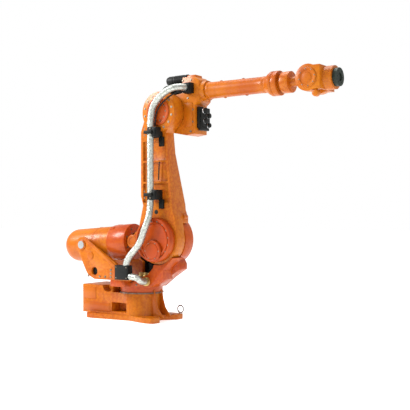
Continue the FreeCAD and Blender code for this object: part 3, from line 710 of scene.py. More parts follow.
@dataclass
class Base:
    """The foot, its column and the connection box behind it."""
    finishes: Finishes
    bolt: float = 12 * MM
    bolt_seat: float = 31 * MM
    panel_screw: float = 4.5 * MM
    box_side: float = 0.160
    plate: float = 4 * MM
    gusset_inside: float = 0.150
    gusset_floor: float = 0.026
    gusset_thick: float = 0.016
    gusset_sides: tuple[float, float] = (-0.060, 0.044)
    gusset_curve: tuple[tuple[float, float], ...] = (
        (0.186, 0.268), (0.201, 0.178), (0.225, 0.110), (0.262, 0.062), (0.290, 0.030))
    plug_pins: int = 8

    def build(self) -> None:
        """Makes the base's pieces."""
        f = self.finishes
        softened("base_casting", f.paint, Body.BASE, 5 * MM)
        self.bolts()
        self.side_plates()
        self.connectors()
        keep("base_lifting_eye", f.steel)
        keep("axis1_bearing_ring", f.iron)

    def bolts(self) -> None:
        """The foot bolts, on their bolt patterns."""
        heads = ScrewSet(self.finishes, Body.BASE)
        for mount in frame["record"]["mounts"]:
            if mount["name"].startswith("foot_bolts"):
                half_x = mount["dims"]["spacing_x_mm"] * MM / 2
                half_y = mount["dims"]["spacing_y_mm"] * MM / 2
                for sx in (-1, 1):
                    for sy in (-1, 1):
                        heads.add((mount["pos_m"][0] + sx * half_x, sy * half_y,
                                   self.bolt_seat), Axis.Z, self.bolt)
        low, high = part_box("base_rear_panel")
        for k in range(4):
            for edge in (0.05, 0.95):
                heads.add((low[0], low[1] + (high[1] - low[1]) * (0.05 + 0.3 * k),
                           low[2] + (high[2] - low[2]) * edge), Axis.BACK, self.panel_screw)
        heads.piece("foot_bolt_heads", self.finishes.screw, Slot.STEEL)

    def side_plates(self) -> None:
        """Thin cover plates on the box's sides and the gussets in front of the column."""
        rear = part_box("base_casting")[0][0]
        shape = Shape("base_side_plates")
        for side in (-1, 1):
            near, far = sorted((side * self.box_side, side * (self.box_side + self.plate)))
            shape.box((rear + 0.02, near, 0.165), (rear + 0.17, far, 0.27))
            shape.box((rear + 0.02, near, 0.06), (rear + 0.34, far, 0.135))
        shape.piece(self.finishes.paint, Body.BASE, Slot.PAINT, 2 * MM)
        web = Shape("base_front_gusset")
        top = self.gusset_curve[0][1]
        for y in self.gusset_sides:
            inside = [(self.gusset_inside, y, self.gusset_floor), (self.gusset_inside, y, top)]
            web.prism(inside + [(x, y, z) for x, z in self.gusset_curve],
                      (0, self.gusset_thick, 0))
        web.piece(self.finishes.paint, Body.BASE, Slot.PAINT, 2 * MM)

    def connectors(self) -> None:
        """The rear panel with its two round plugs."""
        f = self.finishes
        softened("base_rear_panel", f.housing, Body.BASE, 2 * MM)
        for node in ("power_connector", "signal_connector"):
            low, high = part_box(node)
            radius, length = (high[2] - low[2]) / 2, high[0] - low[0]
            middle = (high[0], (low[1] + high[1]) / 2, (low[2] + high[2]) / 2)
            outline = [(radius, 0), (radius, 0.008), (radius * 0.86, 0.009),
                       (radius * 0.86, 0.02), (radius, 0.022), (radius, length - 0.004),
                       (radius * 0.94, length), (radius * 0.78, length),
                       (radius * 0.76, length - 0.016), (0.002, length - 0.016)]
            shell = Shape(f"{node}_shell").turned(outline, middle, Axis.BACK)
            made = shell.piece(f.housing, Body.BASE, Slot.HOUSING, 0.8 * MM)
            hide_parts(node)
            pins = Shape(f"{node}_pins")
            for k in range(self.plug_pins):
                angle = math.tau * k / self.plug_pins
                pins.turned([(0.003, 0), (0.003, 0.009), (0.001, 0.011)],
                            (low[0] + 0.017, middle[1] + 0.5 * radius * math.cos(angle),
                             middle[2] + 0.5 * radius * math.sin(angle)), Axis.BACK, 12)
            pins.piece(f.brass, Body.BASE, Slot.BRASS, 0.0)


def keep(node: str, material: bpy.types.Material) -> None:
    """Gives a CAD node that stays a better material."""
    made = frame["nodes"][node]
    if not made.material_slots:
        made.data.materials.append(material)
    for slot in made.material_slots:
        slot.material = material
    log.info("%s: kept", node)


@dataclass
class Servo:
    """A dark servo motor with a flange, a finned body, an end bell and two sockets."""
    node: str
    body: Body
    axis: Axis
    finishes: Finishes
    socket_side: Vector = field(default_factory=lambda: Vector((0, 0, 1)))

    def build(self) -> None:
        """Makes the motor and its sockets."""
        low, high = (Vector(c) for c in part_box(self.node))
        along = self.axis.vector
        middle = (low + high) / 2
        length = abs((high - low).dot(along))
        radius = sorted(high - low)[0] / 2 if length > sorted(high - low)[0] else \
            sorted(high - low)[1] / 2
        foot = middle - along * length / 2
        fins = []
        for k in range(9):
            h = length * (0.16 + 0.05 * k)
            fins += [(radius * 0.93, h), (radius * 0.93, h + length * 0.018),
                     (radius, h + length * 0.022), (radius, h + length * 0.044)]
        outline = [(radius, 0), (radius, length * 0.08), (radius * 0.9, length * 0.1)]
        outline += fins + [(radius * 0.9, length * 0.66), (radius * 0.97, length * 0.68),
                           (radius * 0.97, length * 0.9), (radius * 0.8, length),
                           (radius * 0.3, length)]
        made = Shape(f"{self.node}_body").turned(outline, foot, self.axis, 48).piece(
            self.finishes.housing, self.body, Slot.HOUSING, 1 * MM)
        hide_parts(self.node)
        sockets = Shape(f"{self.node}_sockets")
        for share in (0.74, 0.86):
            at = foot + along * length * share + self.socket_side * radius * 0.62
            sockets.turned([(radius * 0.22, 0), (radius * 0.22, radius * 0.3),
                            (radius * 0.17, radius * 0.36)], at, self.socket_side, 24)
        sockets.piece(self.finishes.steel, self.body, Slot.STEEL, 0.6 * MM)


@dataclass
class Turret:
    """The rotating column with both motors, the balancer's brackets and the hose box."""
    finishes: Finishes
    deck: float = 0.338
    deck_radius: float = 0.216
    deck_screws: int = 20
    rib_half: float = 13 * MM
    rib_top: tuple[float, float] = (-0.046, 0.478)
    rib_foot: tuple[float, float] = (-0.046, 0.372)
    hole_shade_disc: Point = (-0.288, -0.268, 0.428)
    plugs: tuple[Point, ...] = ((0.115, -0.150, 19 * MM), (0.165, -0.152, 16 * MM),
                                (0.21, -0.150, 19 * MM))
    cable_box: tuple[Point, Point] = ((-0.130, 0.100, 0.336), (-0.020, 0.180, 0.560))
    cable_lid: tuple[Point, Point] = ((-0.122, 0.094, 0.360), (-0.028, 0.104, 0.540))

    def build(self) -> None:
        """Makes the turret's pieces."""
        f = self.finishes
        softened("turret_casting", f.shaded_paint, Body.TURRET, 7 * MM)
        for node in ("balancer_bracket_right", "balancer_bracket_left"):
            softened(node, f.paint, Body.TURRET, 5 * MM)
        Servo("axis1_motor", Body.TURRET, Axis.Z, f, Vector((-1, 0, 0))).build()
        Servo("axis2_motor", Body.TURRET, Axis.Y, f).build()
        keep("axis2_gear_case", f.iron)
        self.bracket_dressing()
        self.hose_box()
        self.bolts()

    def bracket_dressing(self) -> None:
        """Raised bosses and edge ribs on the brackets' outer faces, and a black disc as painted
        shade at the back of a bracket hole.
        """
        f = self.finishes
        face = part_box("balancer_bracket_right")[0][1]
        trunnion = joint("balancer_tilt")["pos_m"]
        shape = Shape("bracket_bosses")
        shape.turned([(0.046, -0.004), (0.046, 0.006), (0.041, 0.010), (0.03, 0.010)],
                     (trunnion[0], face, trunnion[2]), Axis.NEAR)
        shape.turned([(0.036, -0.004), (0.034, 0.006), (0.02, 0.008)],
                     (trunnion[0] + 0.105, face, trunnion[2] - 0.092), Axis.NEAR)
        rib_start = (trunnion[0] + 0.035, trunnion[2] + 0.058)
        for (x0, z0), (x1, z1) in ((rib_start, self.rib_top), (self.rib_top, self.rib_foot)):
            run = Vector((x1 - x0, 0, z1 - z0))
            side = Vector((run.z, 0, -run.x)).normalized() * self.rib_half
            start, end = Vector((x0, face + 0.004, z0)), Vector((x1, face + 0.004, z1))
            shape.prism((start + side, start - side, end - side, end + side),
                        (0, -self.rib_half, 0))
        shape.piece(f.paint, Body.TURRET, Slot.PAINT, 3 * MM)
        # A flat black disc behind the hole: painted shade for the hole's dark inside.
        back = Shape("bracket_hole_shade_disc")
        back.turned([(0.0346, 0), (0.0346, 0.012)], self.hole_shade_disc, Axis.NEAR, 40)
        back.piece(f.plastic, Body.TURRET, Slot.PLASTIC, 0.5 * MM)

    def hose_box(self) -> None:
        """The black box on the near bracket, and the brass fittings behind it."""
        f = self.finishes
        low, high = (Vector(c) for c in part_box("hose_clamp_box"))
        shape = Shape("hose_box_shell")
        shape.box(low + Vector((0, 0.006, 0)), high)
        shape.box(low + Vector((0.008, 0.003, 0.008)),
                  (high.x - 0.008, low.y + 0.008, high.z - 0.008))
        shape.box((low.x + 0.02, low.y + 0.004, high.z - 0.001), (low.x + 0.05, high.y, high.z))
        made = shape.piece(f.plastic, Body.TURRET, Slot.PLASTIC, 3 * MM)
        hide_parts("hose_clamp_box")
        low, high = (Vector(c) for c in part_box("hose_socket"))
        radius, middle = (high.z - low.z) / 2, (low + high) / 2
        length = high.y - low.y
        collar = Shape("hose_socket_collar").turned(
            [(radius, 0), (radius, length * 0.4), (radius * 0.88, length * 0.45),
             (radius * 0.88, length * 0.7), (radius * 0.96, length * 0.75),
             (radius * 0.96, length), (radius * 0.8, length)],
            (middle.x, high.y, middle.z), Axis.NEAR, 36)
        made = collar.piece(f.brass, Body.TURRET, Slot.BRASS, 1 * MM)
        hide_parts("hose_socket")
        plugs = Shape("deck_connectors")
        for x, y, size in self.plugs:
            plugs.turned([(size, 0), (size, 0.03), (size * 1.25, 0.032), (size * 1.25, 0.06),
                          (size * 0.9, 0.066), (size * 0.9, 0.085), (size * 0.4, 0.088)],
                         (x, y, self.deck), Axis.Z, 24)
        plugs.piece(f.brass, Body.TURRET, Slot.BRASS, 1 * MM)
        deck = Shape("deck_cable_box")
        deck.box(*self.cable_box).box(*self.cable_lid)
        deck.piece(f.housing, Body.TURRET, Slot.HOUSING, 4 * MM)

    def bolts(self) -> None:
        """The turret's screws."""
        heads = ScrewSet(self.finishes, Body.TURRET)
        heads.circle((0, 0, self.deck), Axis.Z, self.deck_radius, self.deck_screws,
                     8 * MM, 100, 160)
        low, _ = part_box("balancer_bracket_right")
        for z in (0.385, 0.415, 0.445):
            heads.add((-0.095, low[1], z), Axis.NEAR, 7 * MM)
        for x in (-0.36, -0.225, -0.16):
            heads.add((x, low[1], 0.384), Axis.NEAR, 7 * MM)
        for x in (0.0, 0.06, 0.12):
            heads.add((x, -0.215, 0.322), Axis.NEAR, 6 * MM)
        box_low, box_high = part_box("hose_clamp_box")
        for x in (box_low[0] + 0.016, box_high[0] - 0.016):
            for z in (box_low[2] + 0.016, box_high[2] - 0.016):
                heads.add((x, box_low[1] + 0.003, z), Axis.NEAR, 4 * MM)
        heads.piece("turret_screws", self.finishes.screw, Slot.STEEL)


def joint(name: str) -> dict:
    """The record's row for a joint."""
    return next(row for row in frame["record"]["behaviour"]["joints"] if row["name"] == name)


@dataclass
class Balancer:
    """The spring can on its trunnions, with its front cap, rod and pins."""
    finishes: Finishes
    screws: int = 8
    screw_circle: float = 0.118
    cap_start: float = 0.251
    cap_end: float = 0.456
    lug_seat: float = 0.148
    lug_angles: tuple[int, ...] = (55, 100, 145, 215, 260)

    def build(self) -> None:
        """Makes the balancer's pieces."""
        f = self.finishes
        softened("balancer_cylinder", f.paint, Body.BARREL, 4 * MM)
        softened("balancer_front_cap", f.shaded_paint, Body.BARREL, 5 * MM)
        for node in ("trunnion_pin_right", "trunnion_pin_left", "clevis_pin", "balancer_rod"):
            keep(node, f.steel)
        self.bands()

    def bands(self) -> None:
        """The strap, the tie lugs and the screws of the cap."""
        f = self.finishes
        trunnion = Vector(joint("balancer_tilt")["pos_m"])
        shoulder = Vector(joint("axis2_swing")["pos_m"])
        along = Vector((shoulder.x - trunnion.x, 0, shoulder.z - trunnion.z)).normalized()
        start = trunnion + along * self.cap_start
        strap = Shape("balancer_strap")
        for reach, radius, wide in ((0.236, 0.1515, 0.015), (0.06, 0.149, 0.02)):
            strap.turned([(radius - 0.004, 0), (radius, 0.002), (radius, wide - 0.002),
                          (radius - 0.004, wide)], trunnion + along * reach, along, 96)
        strap.piece(f.paint, Body.BARREL, Slot.PAINT, 0.8 * MM)
        lugs = Shape("balancer_tie_lugs")
        side = Vector((0, -1, 0))
        upward = side.cross(along).normalized()
        for angle in self.lug_angles:
            out = upward * math.sin(math.radians(angle)) + side * math.cos(math.radians(angle))
            at = start + out * self.lug_seat + along * 0.004
            cross = along.cross(out)
            corners = [at + cross * 0.016, at + cross * 0.016 + out * 0.012,
                       at - cross * 0.016 + out * 0.012, at - cross * 0.016]
            lugs.prism(corners, along * 0.045)
        lugs.piece(f.shaded_paint, Body.BARREL, Slot.PAINT, 2 * MM)
        heads = ScrewSet(f, Body.BARREL)
        front = trunnion + along * self.cap_end
        for k in range(self.screws):
            angle = math.tau * (k + 0.5) / self.screws
            out = upward * math.sin(angle) + side * math.cos(angle)
            heads.add(front + out * self.screw_circle, along, 7 * MM)
        heads.piece("balancer_screws", f.screw, Slot.STEEL)


@dataclass
class UpperArm:
    """The one-sided arm with its shoulder disc, elbow cover and hose clamps."""
    finishes: Finishes
    face: float = -0.200
    web_outline: tuple[tuple[float, float], ...] = (
        (0.434, 0.940), (0.487, 0.884), (0.519, 0.850), (0.519, 0.902), (0.498, 0.948))
    web_side: float = -0.094
    web_thick: float = 0.086
    stud: Point = (0.512, -0.075, 0.905)
    slot_corners: tuple[tuple[float, float], ...] = (
        (0.343, 1.215), (0.355, 1.215), (0.363, 1.368), (0.351, 1.368))
    side_hole: tuple[float, float] = (0.325, 0.946)
    boss_screws: int = 14
    disc_screws: int = 16

    def build(self) -> None:
        """Makes the arm's pieces."""
        f = self.finishes
        softened("upper_arm_casting", f.paint, Body.ARM, 7 * MM)
        self.shoulder_disc()
        self.elbow_cover()
        self.clamps()
        self.web()
        self.bolts()

    def web(self) -> None:
        """The arm's front web, its clevis boss, and flat black patches on its side as painted
        shade in a slot and a round hole.
        """
        f = self.finishes
        shape = Shape("arm_front_web")
        shape.prism([(x, self.web_side, z) for x, z in self.web_outline],
                    (0, self.web_thick, 0))
        shape.turned([(0.019, 0), (0.019, 0.050), (0.012, 0.056)], self.stud, Axis.Y, 24)
        pin = joint("clevis_turn")["pos_m"]
        shape.turned([(0.058, 0), (0.058, 0.028), (0.050, 0.035), (0.034, 0.035),
                      (0.032, 0.030), (0.002, 0.030)], (pin[0], self.face, pin[2]), Axis.NEAR, 60)
        shape.piece(f.paint, Body.ARM, Slot.PAINT, 2 * MM)
        # Black patches on the side face: painted shade for the dark inside of a slot and a hole.
        dark = Shape("arm_side_recess_shade")
        sunk = self.face + 1 * MM
        dark.prism([(x, sunk, z) for x, z in self.slot_corners], (0, -0.0016, 0))
        dark.turned([(0.019, 0), (0.019, 0.002)], (self.side_hole[0], sunk, self.side_hole[1]),
                    Axis.NEAR, 32)
        dark.piece(f.plastic, Body.ARM, Slot.PLASTIC, 0.4 * MM)

    def shoulder_disc(self) -> None:
        """The stepped disc over axis 2, with the round motor cap low on it."""
        f = self.finishes
        low, high = (Vector(c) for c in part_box("axis2_cover"))
        centre = Vector(((low.x + high.x) / 2, high.y, (low.z + high.z) / 2))
        radius, deep = (high.x - low.x) / 2, high.y - low.y
        outline = [(radius * 0.985, 0), (radius, 0.006), (radius, deep - 0.012),
                   (radius * 0.975, deep - 0.002), (radius * 0.9, deep), (radius * 0.885, deep),
                   (radius * 0.87, deep - 0.012), (radius * 0.82, deep - 0.014),
                   (radius * 0.8, deep - 0.006), (radius * 0.72, deep - 0.004),
                   (radius * 0.7, deep - 0.014), (radius * 0.2, deep - 0.012)]
        made = Shape("shoulder_disc").turned(outline, centre, Axis.NEAR, 120).piece(
            f.shaded_paint, Body.ARM, Slot.PAINT, 1.5 * MM)
        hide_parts("axis2_cover")
        low, high = (Vector(c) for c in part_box("axis2_cap"))
        radius = (high.x - low.x) / 2
        foot = Vector(((low.x + high.x) / 2, high.y + 0.012, (low.z + high.z) / 2))
        outline = [(radius, 0), (radius, 0.016), (radius * 0.95, 0.0235),
                   (radius * 0.84, 0.0255),
                   (radius * 0.8, 0.0205), (radius * 0.74, 0.0205), (radius * 0.7, 0.0255),
                   (radius * 0.5, 0.026), (radius * 0.12, 0.026)]
        made = Shape("shoulder_motor_cap").turned(outline, foot, Axis.NEAR, 96).piece(
            f.shaded_paint, Body.ARM, Slot.PAINT, 1 * MM)
        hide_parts("axis2_cap")

    def elbow_cover(self) -> None:
        """The stepped cover over axis 3."""
        low, high = (Vector(c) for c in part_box("axis3_cover"))
        radius = (high.x - low.x) / 2
        foot = Vector(((low.x + high.x) / 2, high.y, (low.z + high.z) / 2))
        outline = [(radius, 0), (radius, 0.008), (radius * 0.96, 0.012), (radius * 0.8, 0.012),
                   (radius * 0.77, 0.006), (radius * 0.6, 0.006), (radius * 0.56, 0.011),
                   (radius * 0.1, 0.011)]
        made = Shape("elbow_cover").turned(outline, foot, Axis.NEAR, 96).piece(
            self.finishes.shaded_paint, Body.ARM, Slot.PAINT, 1 * MM)
        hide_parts("axis3_cover")

    def clamps(self) -> None:
        """The two black hose clamps: a jaw, a lid, a foot and a back plate."""
        f = self.finishes
        for node in ("lower_hose_clamp", "upper_hose_clamp"):
            low, high = (Vector(c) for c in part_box(node))
            height = high.z - low.z
            jaw = low.x + (high.x - low.x - 0.03)
            shape = Shape(f"{node}_jaw")
            middle = (low.z + high.z) / 2
            strap = height * 0.16
            shape.box((low.x, low.y, middle - strap), (jaw, high.y, middle + strap))
            shape.box((low.x + 0.004, low.y + 0.042, low.z), (jaw - 0.004, high.y, high.z))
            shape.box((jaw - 0.014, low.y + 0.022, low.z), (high.x, high.y, high.z))
            shape.box((jaw - 0.008, low.y + 0.014, low.z + height * 0.14),
                      (high.x - 0.006, high.y, low.z + height * 0.86))
            made = shape.piece(f.plastic, Body.ARM, Slot.PLASTIC, 3 * MM)
            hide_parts(node)
            foot = Shape(f"{node}_foot")
            foot.box((jaw + 0.004, self.face - 0.022, low.z - 0.075),
                     (high.x + 0.02, self.face, low.z + 0.004))
            foot.box((jaw + 0.012, self.face - 0.027, low.z - 0.055),
                     (high.x + 0.01, self.face, low.z - 0.02))
            foot.piece(f.plastic, Body.ARM, Slot.PLASTIC, 3 * MM)

    def bolts(self) -> None:
        """The arm's screws."""
        heads = ScrewSet(self.finishes, Body.ARM)
        low, high = (Vector(c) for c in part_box("axis3_cover"))
        middle = ((low.x + high.x) / 2, low.y + 0.006, (low.z + high.z) / 2)
        heads.circle(middle, Axis.NEAR, (high.x - low.x) / 2 * 0.69, 10, 4.5 * MM)
        boss = (middle[0], high.y, middle[2])
        heads.circle(boss, Axis.NEAR, 0.145, self.boss_screws, 7 * MM, 12)
        low, high = (Vector(c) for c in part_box("axis2_cover"))
        middle = ((low.x + high.x) / 2, low.y + 0.0135, (low.z + high.z) / 2)
        heads.circle(middle, Axis.NEAR, (high.x - low.x) / 2 * 0.845, self.disc_screws,
                     5.5 * MM, 8)
        low, high = (Vector(c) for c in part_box("axis2_cap"))
        middle = ((low.x + high.x) / 2, low.y + 0.0053, (low.z + high.z) / 2)
        heads.circle(middle, Axis.NEAR, (high.x - low.x) / 2 * 0.77, 6, 4 * MM)
        for node in ("lower_hose_clamp", "upper_hose_clamp"):
            low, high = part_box(node)
            for z in (low[2] + 0.014, high[2] - 0.014):
                heads.add((low[0] + 0.012, low[1], z), Axis.NEAR, 4.5 * MM)
                heads.add((high[0] - 0.042, low[1], z), Axis.NEAR, 4.5 * MM)
        heads.piece("arm_screws", self.finishes.screw, Slot.STEEL)


@dataclass
class Forearm:
    """The elbow casting with its motors, the long tube and the fixed wrist flange."""
    finishes: Finishes
    plugs: tuple[Point, ...] = ((-0.028, 1.790, 0.025), (0.026, 1.752, 0.024),
                                (-0.022, 1.708, 0.023), (0.028, 1.672, 0.022))
    bosses: tuple[tuple[float, float], ...] = ((0.0, 0.853), (0.0, 1.068), (180.0, 0.893),
                                               (180.0, 1.102))
    tube_front: float = 0.066
    side_screws: tuple[tuple[float, float], ...] = (
        (0.60, 1.62), (0.62, 1.70), (0.62, 1.80), (0.52, 2.05), (0.60, 2.05), (0.57, 1.90))

    def build(self) -> None:
        """Makes the forearm's pieces."""
        f = self.finishes
        softened("elbow_casting", f.paint, Body.FOREARM, 7 * MM)
        keep("axis3_gear_case", f.iron)
        for node in ("axis4_motor", "axis5_motor", "axis6_motor"):
            Servo(node, Body.FOREARM, Axis.BACK, f).build()
        self.front_unit()
        self.tube()
        self.flange()
        self.entry_clamp()
        self.lids()

    def front_unit(self) -> None:
        """The black motor block on the elbow's front face, with its round sockets."""
        f = self.finishes
        low, high = (Vector(c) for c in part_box("axis3_motor"))
        middle = (low + high) / 2
        shape = Shape("front_motor_block")
        shape.box((low.x, low.y, low.z + 0.020), (low.x + 0.030, high.y, high.z))
        shape.box((low.x, low.y + 0.010, low.z + 0.030),
                  (high.x - 0.020, high.y - 0.010, high.z - 0.010))
        shape.box((low.x + 0.010, low.y + 0.006, low.z),
                  (high.x - 0.030, high.y - 0.006, low.z + 0.070))
        made = shape.piece(f.housing, Body.FOREARM, Slot.HOUSING, 6 * MM)
        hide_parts("axis3_motor")
        sockets = Shape("front_motor_sockets")
        plugs = Shape("front_motor_plugs")
        for y, z, size in self.plugs:
            at = Vector((high.x - 0.026, middle.y + y, z))
            plugs.turned([(size, 0), (size, 0.010), (size * 0.84, 0.012), (size * 0.84, 0.0225),
                          (size * 0.62, 0.0245)], at, Axis.X, 32)
            sockets.turned([(size * 1.12, 0), (size * 1.12, 0.005), (size * 0.98, 0.007)],
                           at, Axis.X, 32)
        plugs.piece(f.plastic, Body.FOREARM, Slot.PLASTIC, 0.5 * MM)
        sockets.piece(f.steel, Body.FOREARM, Slot.STEEL, 0.5 * MM)

    def tube(self) -> None:
        """The drawn tube: collars at its ends and four small screwed bosses."""
        f = self.finishes
        low, high = (Vector(c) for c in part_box("forearm_tube"))
        axis_z, length = (low.z + high.z) / 2, high.x - low.x
        rear, front = (high.z - low.z) / 2, self.tube_front
        outline = [(rear, 0), (rear, 0.03), (rear - 0.003, 0.034)]
        outline += [(rear - 0.003 + (front - rear + 0.002) * k / 8,
                     0.034 + (length - 0.064) * k / 8) for k in range(1, 9)]
        outline += [(front + 0.001, length - 0.022), (front, length)]
        made = Shape("forearm_tube_skin").turned(outline, (low.x, 0, axis_z), Axis.X, 96).piece(
            f.paint, Body.FOREARM, Slot.PAINT, 0.8 * MM)
        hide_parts("forearm_tube")
        heads = ScrewSet(f, Body.FOREARM)
        bosses = Shape("tube_bosses")
        for tilt, place in self.bosses:
            share = (place - low.x) / length
            radius = rear + (front - rear) * share - 0.003
            out = Vector((0, -math.sin(math.radians(tilt)), math.cos(math.radians(tilt))))
            at = Vector((place, 0, axis_z)) + out * (radius - 0.006)
            bosses.turned([(0.013, 0), (0.013, 0.010), (0.010, 0.012)], at, out, 24)
            heads.add(at + out * 0.012, out, 4 * MM)
        bosses.piece(f.paint, Body.FOREARM, Slot.PAINT, 0.6 * MM)
        low, high = (Vector(c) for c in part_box("elbow_casting"))
        heads.circle((high.x - 0.002, 0, axis_z), Axis.X, 0.079, 10, 4 * MM)
        for x, z in self.side_screws:
            heads.add((x, low.y, z), Axis.NEAR, 7 * MM)
        heads.piece("forearm_screws", f.screw, Slot.STEEL)

    def flange(self) -> None:
        """The flared end of the tube and its screwed ring."""
        f = self.finishes
        low, high = (Vector(c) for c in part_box("wrist_fixed_flange"))
        radius, axis_z, length = (high.z - low.z) / 2, (low.z + high.z) / 2, high.x - low.x
        outline = [(0.066, 0), (0.067, 0.008), (0.074, 0.022), (0.086, 0.036), (0.091, 0.046),
                   (0.093, 0.052), (radius - 0.002, 0.054), (radius, 0.057), (radius, 0.078),
                   (radius - 0.004, 0.080), (radius - 0.004, 0.085), (radius, 0.087),
                   (radius, length - 0.003), (radius - 0.003, length)]
        made = Shape("tube_end_flange").turned(outline, (low.x, 0, axis_z), Axis.X, 96).piece(
            f.paint, Body.FOREARM, Slot.PAINT, 0.8 * MM)
        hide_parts("wrist_fixed_flange")

    def entry_clamp(self) -> None:
        """The black clamp where the hose enters the casting."""
        f = self.finishes
        low, high = (Vector(c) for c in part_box("hose_entry_clamp"))
        shape = Shape("entry_clamp_block")
        shape.box((low.x, low.y + 0.012, low.z), high)
        shape.box((low.x + 0.005, low.y, low.z + 0.006),
                  (high.x - 0.005, low.y + 0.02, high.z - 0.006))
        made = shape.piece(f.plastic, Body.FOREARM, Slot.PLASTIC, 4 * MM)
        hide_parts("hose_entry_clamp")

    def lids(self) -> None:
        """The cover plate on the elbow's near face and the box on its top."""
        low, high = (Vector(c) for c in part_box("elbow_casting"))
        shape = Shape("elbow_lids")
        shape.box((0.53, low.y - 0.006, 1.66), (0.62, low.y + 0.002, 1.86))
        shape.box((0.535, -0.05, high.z - 0.002), (0.625, 0.05, high.z + 0.022), 0.94)
        shape.piece(self.finishes.paint, Body.FOREARM, Slot.PAINT, 3 * MM)


@dataclass
class Wrist:
    """The in-line wrist: roll housing, bend head and tool flange."""
    finishes: Finishes

    def build(self) -> None:
        """Makes the wrist's pieces."""
        f = self.finishes
        softened("wrist_housing", f.paint, Body.ROLL, 3 * MM)
        softened("wrist_head", f.paint, Body.BEND, 6 * MM)
        low, high = (Vector(c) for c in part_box("axis5_gear_cap"))
        radius, middle = (high.x - low.x) / 2, (low + high) / 2
        made = Shape("gear_cap_shell").turned(
            [(radius * 0.9, 0), (radius, 0.004), (radius, 0.036), (radius * 0.8, 0.044),
             (radius * 0.3, 0.046)], (middle.x, high.y, middle.z), Axis.NEAR, 48).piece(
            f.paint, Body.BEND, Slot.PAINT, 1 * MM)
        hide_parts("axis5_gear_cap")
        for node, axis in (("axis5_cover_right", Axis.NEAR), ("axis5_cover_left", Axis.Y)):
            self.cover(node, axis)
        self.flange()
        heads = ScrewSet(f, Body.ROLL)
        low, high = (Vector(c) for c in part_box("wrist_housing"))
        heads.circle((1.444, 0, (low.z + high.z) / 2), Axis.BACK, 0.073, 12, 4 * MM)
        heads.piece("wrist_ring_screws", f.screw, Slot.STEEL)

    def cover(self, node: str, axis: Axis) -> None:
        """A stepped bearing cover with its screws."""
        f = self.finishes
        low, high = (Vector(c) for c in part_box(node))
        radius = (high.x - low.x) / 2
        inner = high.y if axis is Axis.NEAR else low.y
        foot = Vector(((low.x + high.x) / 2, inner, (low.z + high.z) / 2))
        outline = [(radius, 0), (radius, 0.006), (radius * 0.95, 0.0095),
                   (radius * 0.78, 0.0095),
                   (radius * 0.74, 0.005), (radius * 0.5, 0.005), (radius * 0.46, 0.0095),
                   (radius * 0.1, 0.01)]
        made = Shape(f"{node}_lid").turned(outline, foot, axis, 72).piece(
            f.paint, Body.BEND, Slot.PAINT, 0.6 * MM)
        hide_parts(node)
        heads = ScrewSet(f, Body.BEND)
        heads.circle(foot + axis.vector * 0.0093, axis, radius * 0.865, 8, 3.5 * MM, 10)
        heads.piece(f"{node}_screws", f.screw, Slot.STEEL)

    def flange(self) -> None:
        """The dark tool flange keeps its CAD holes."""
        keep("tool_flange", self.finishes.green)


# ------------------------------------------------------------------ hoses

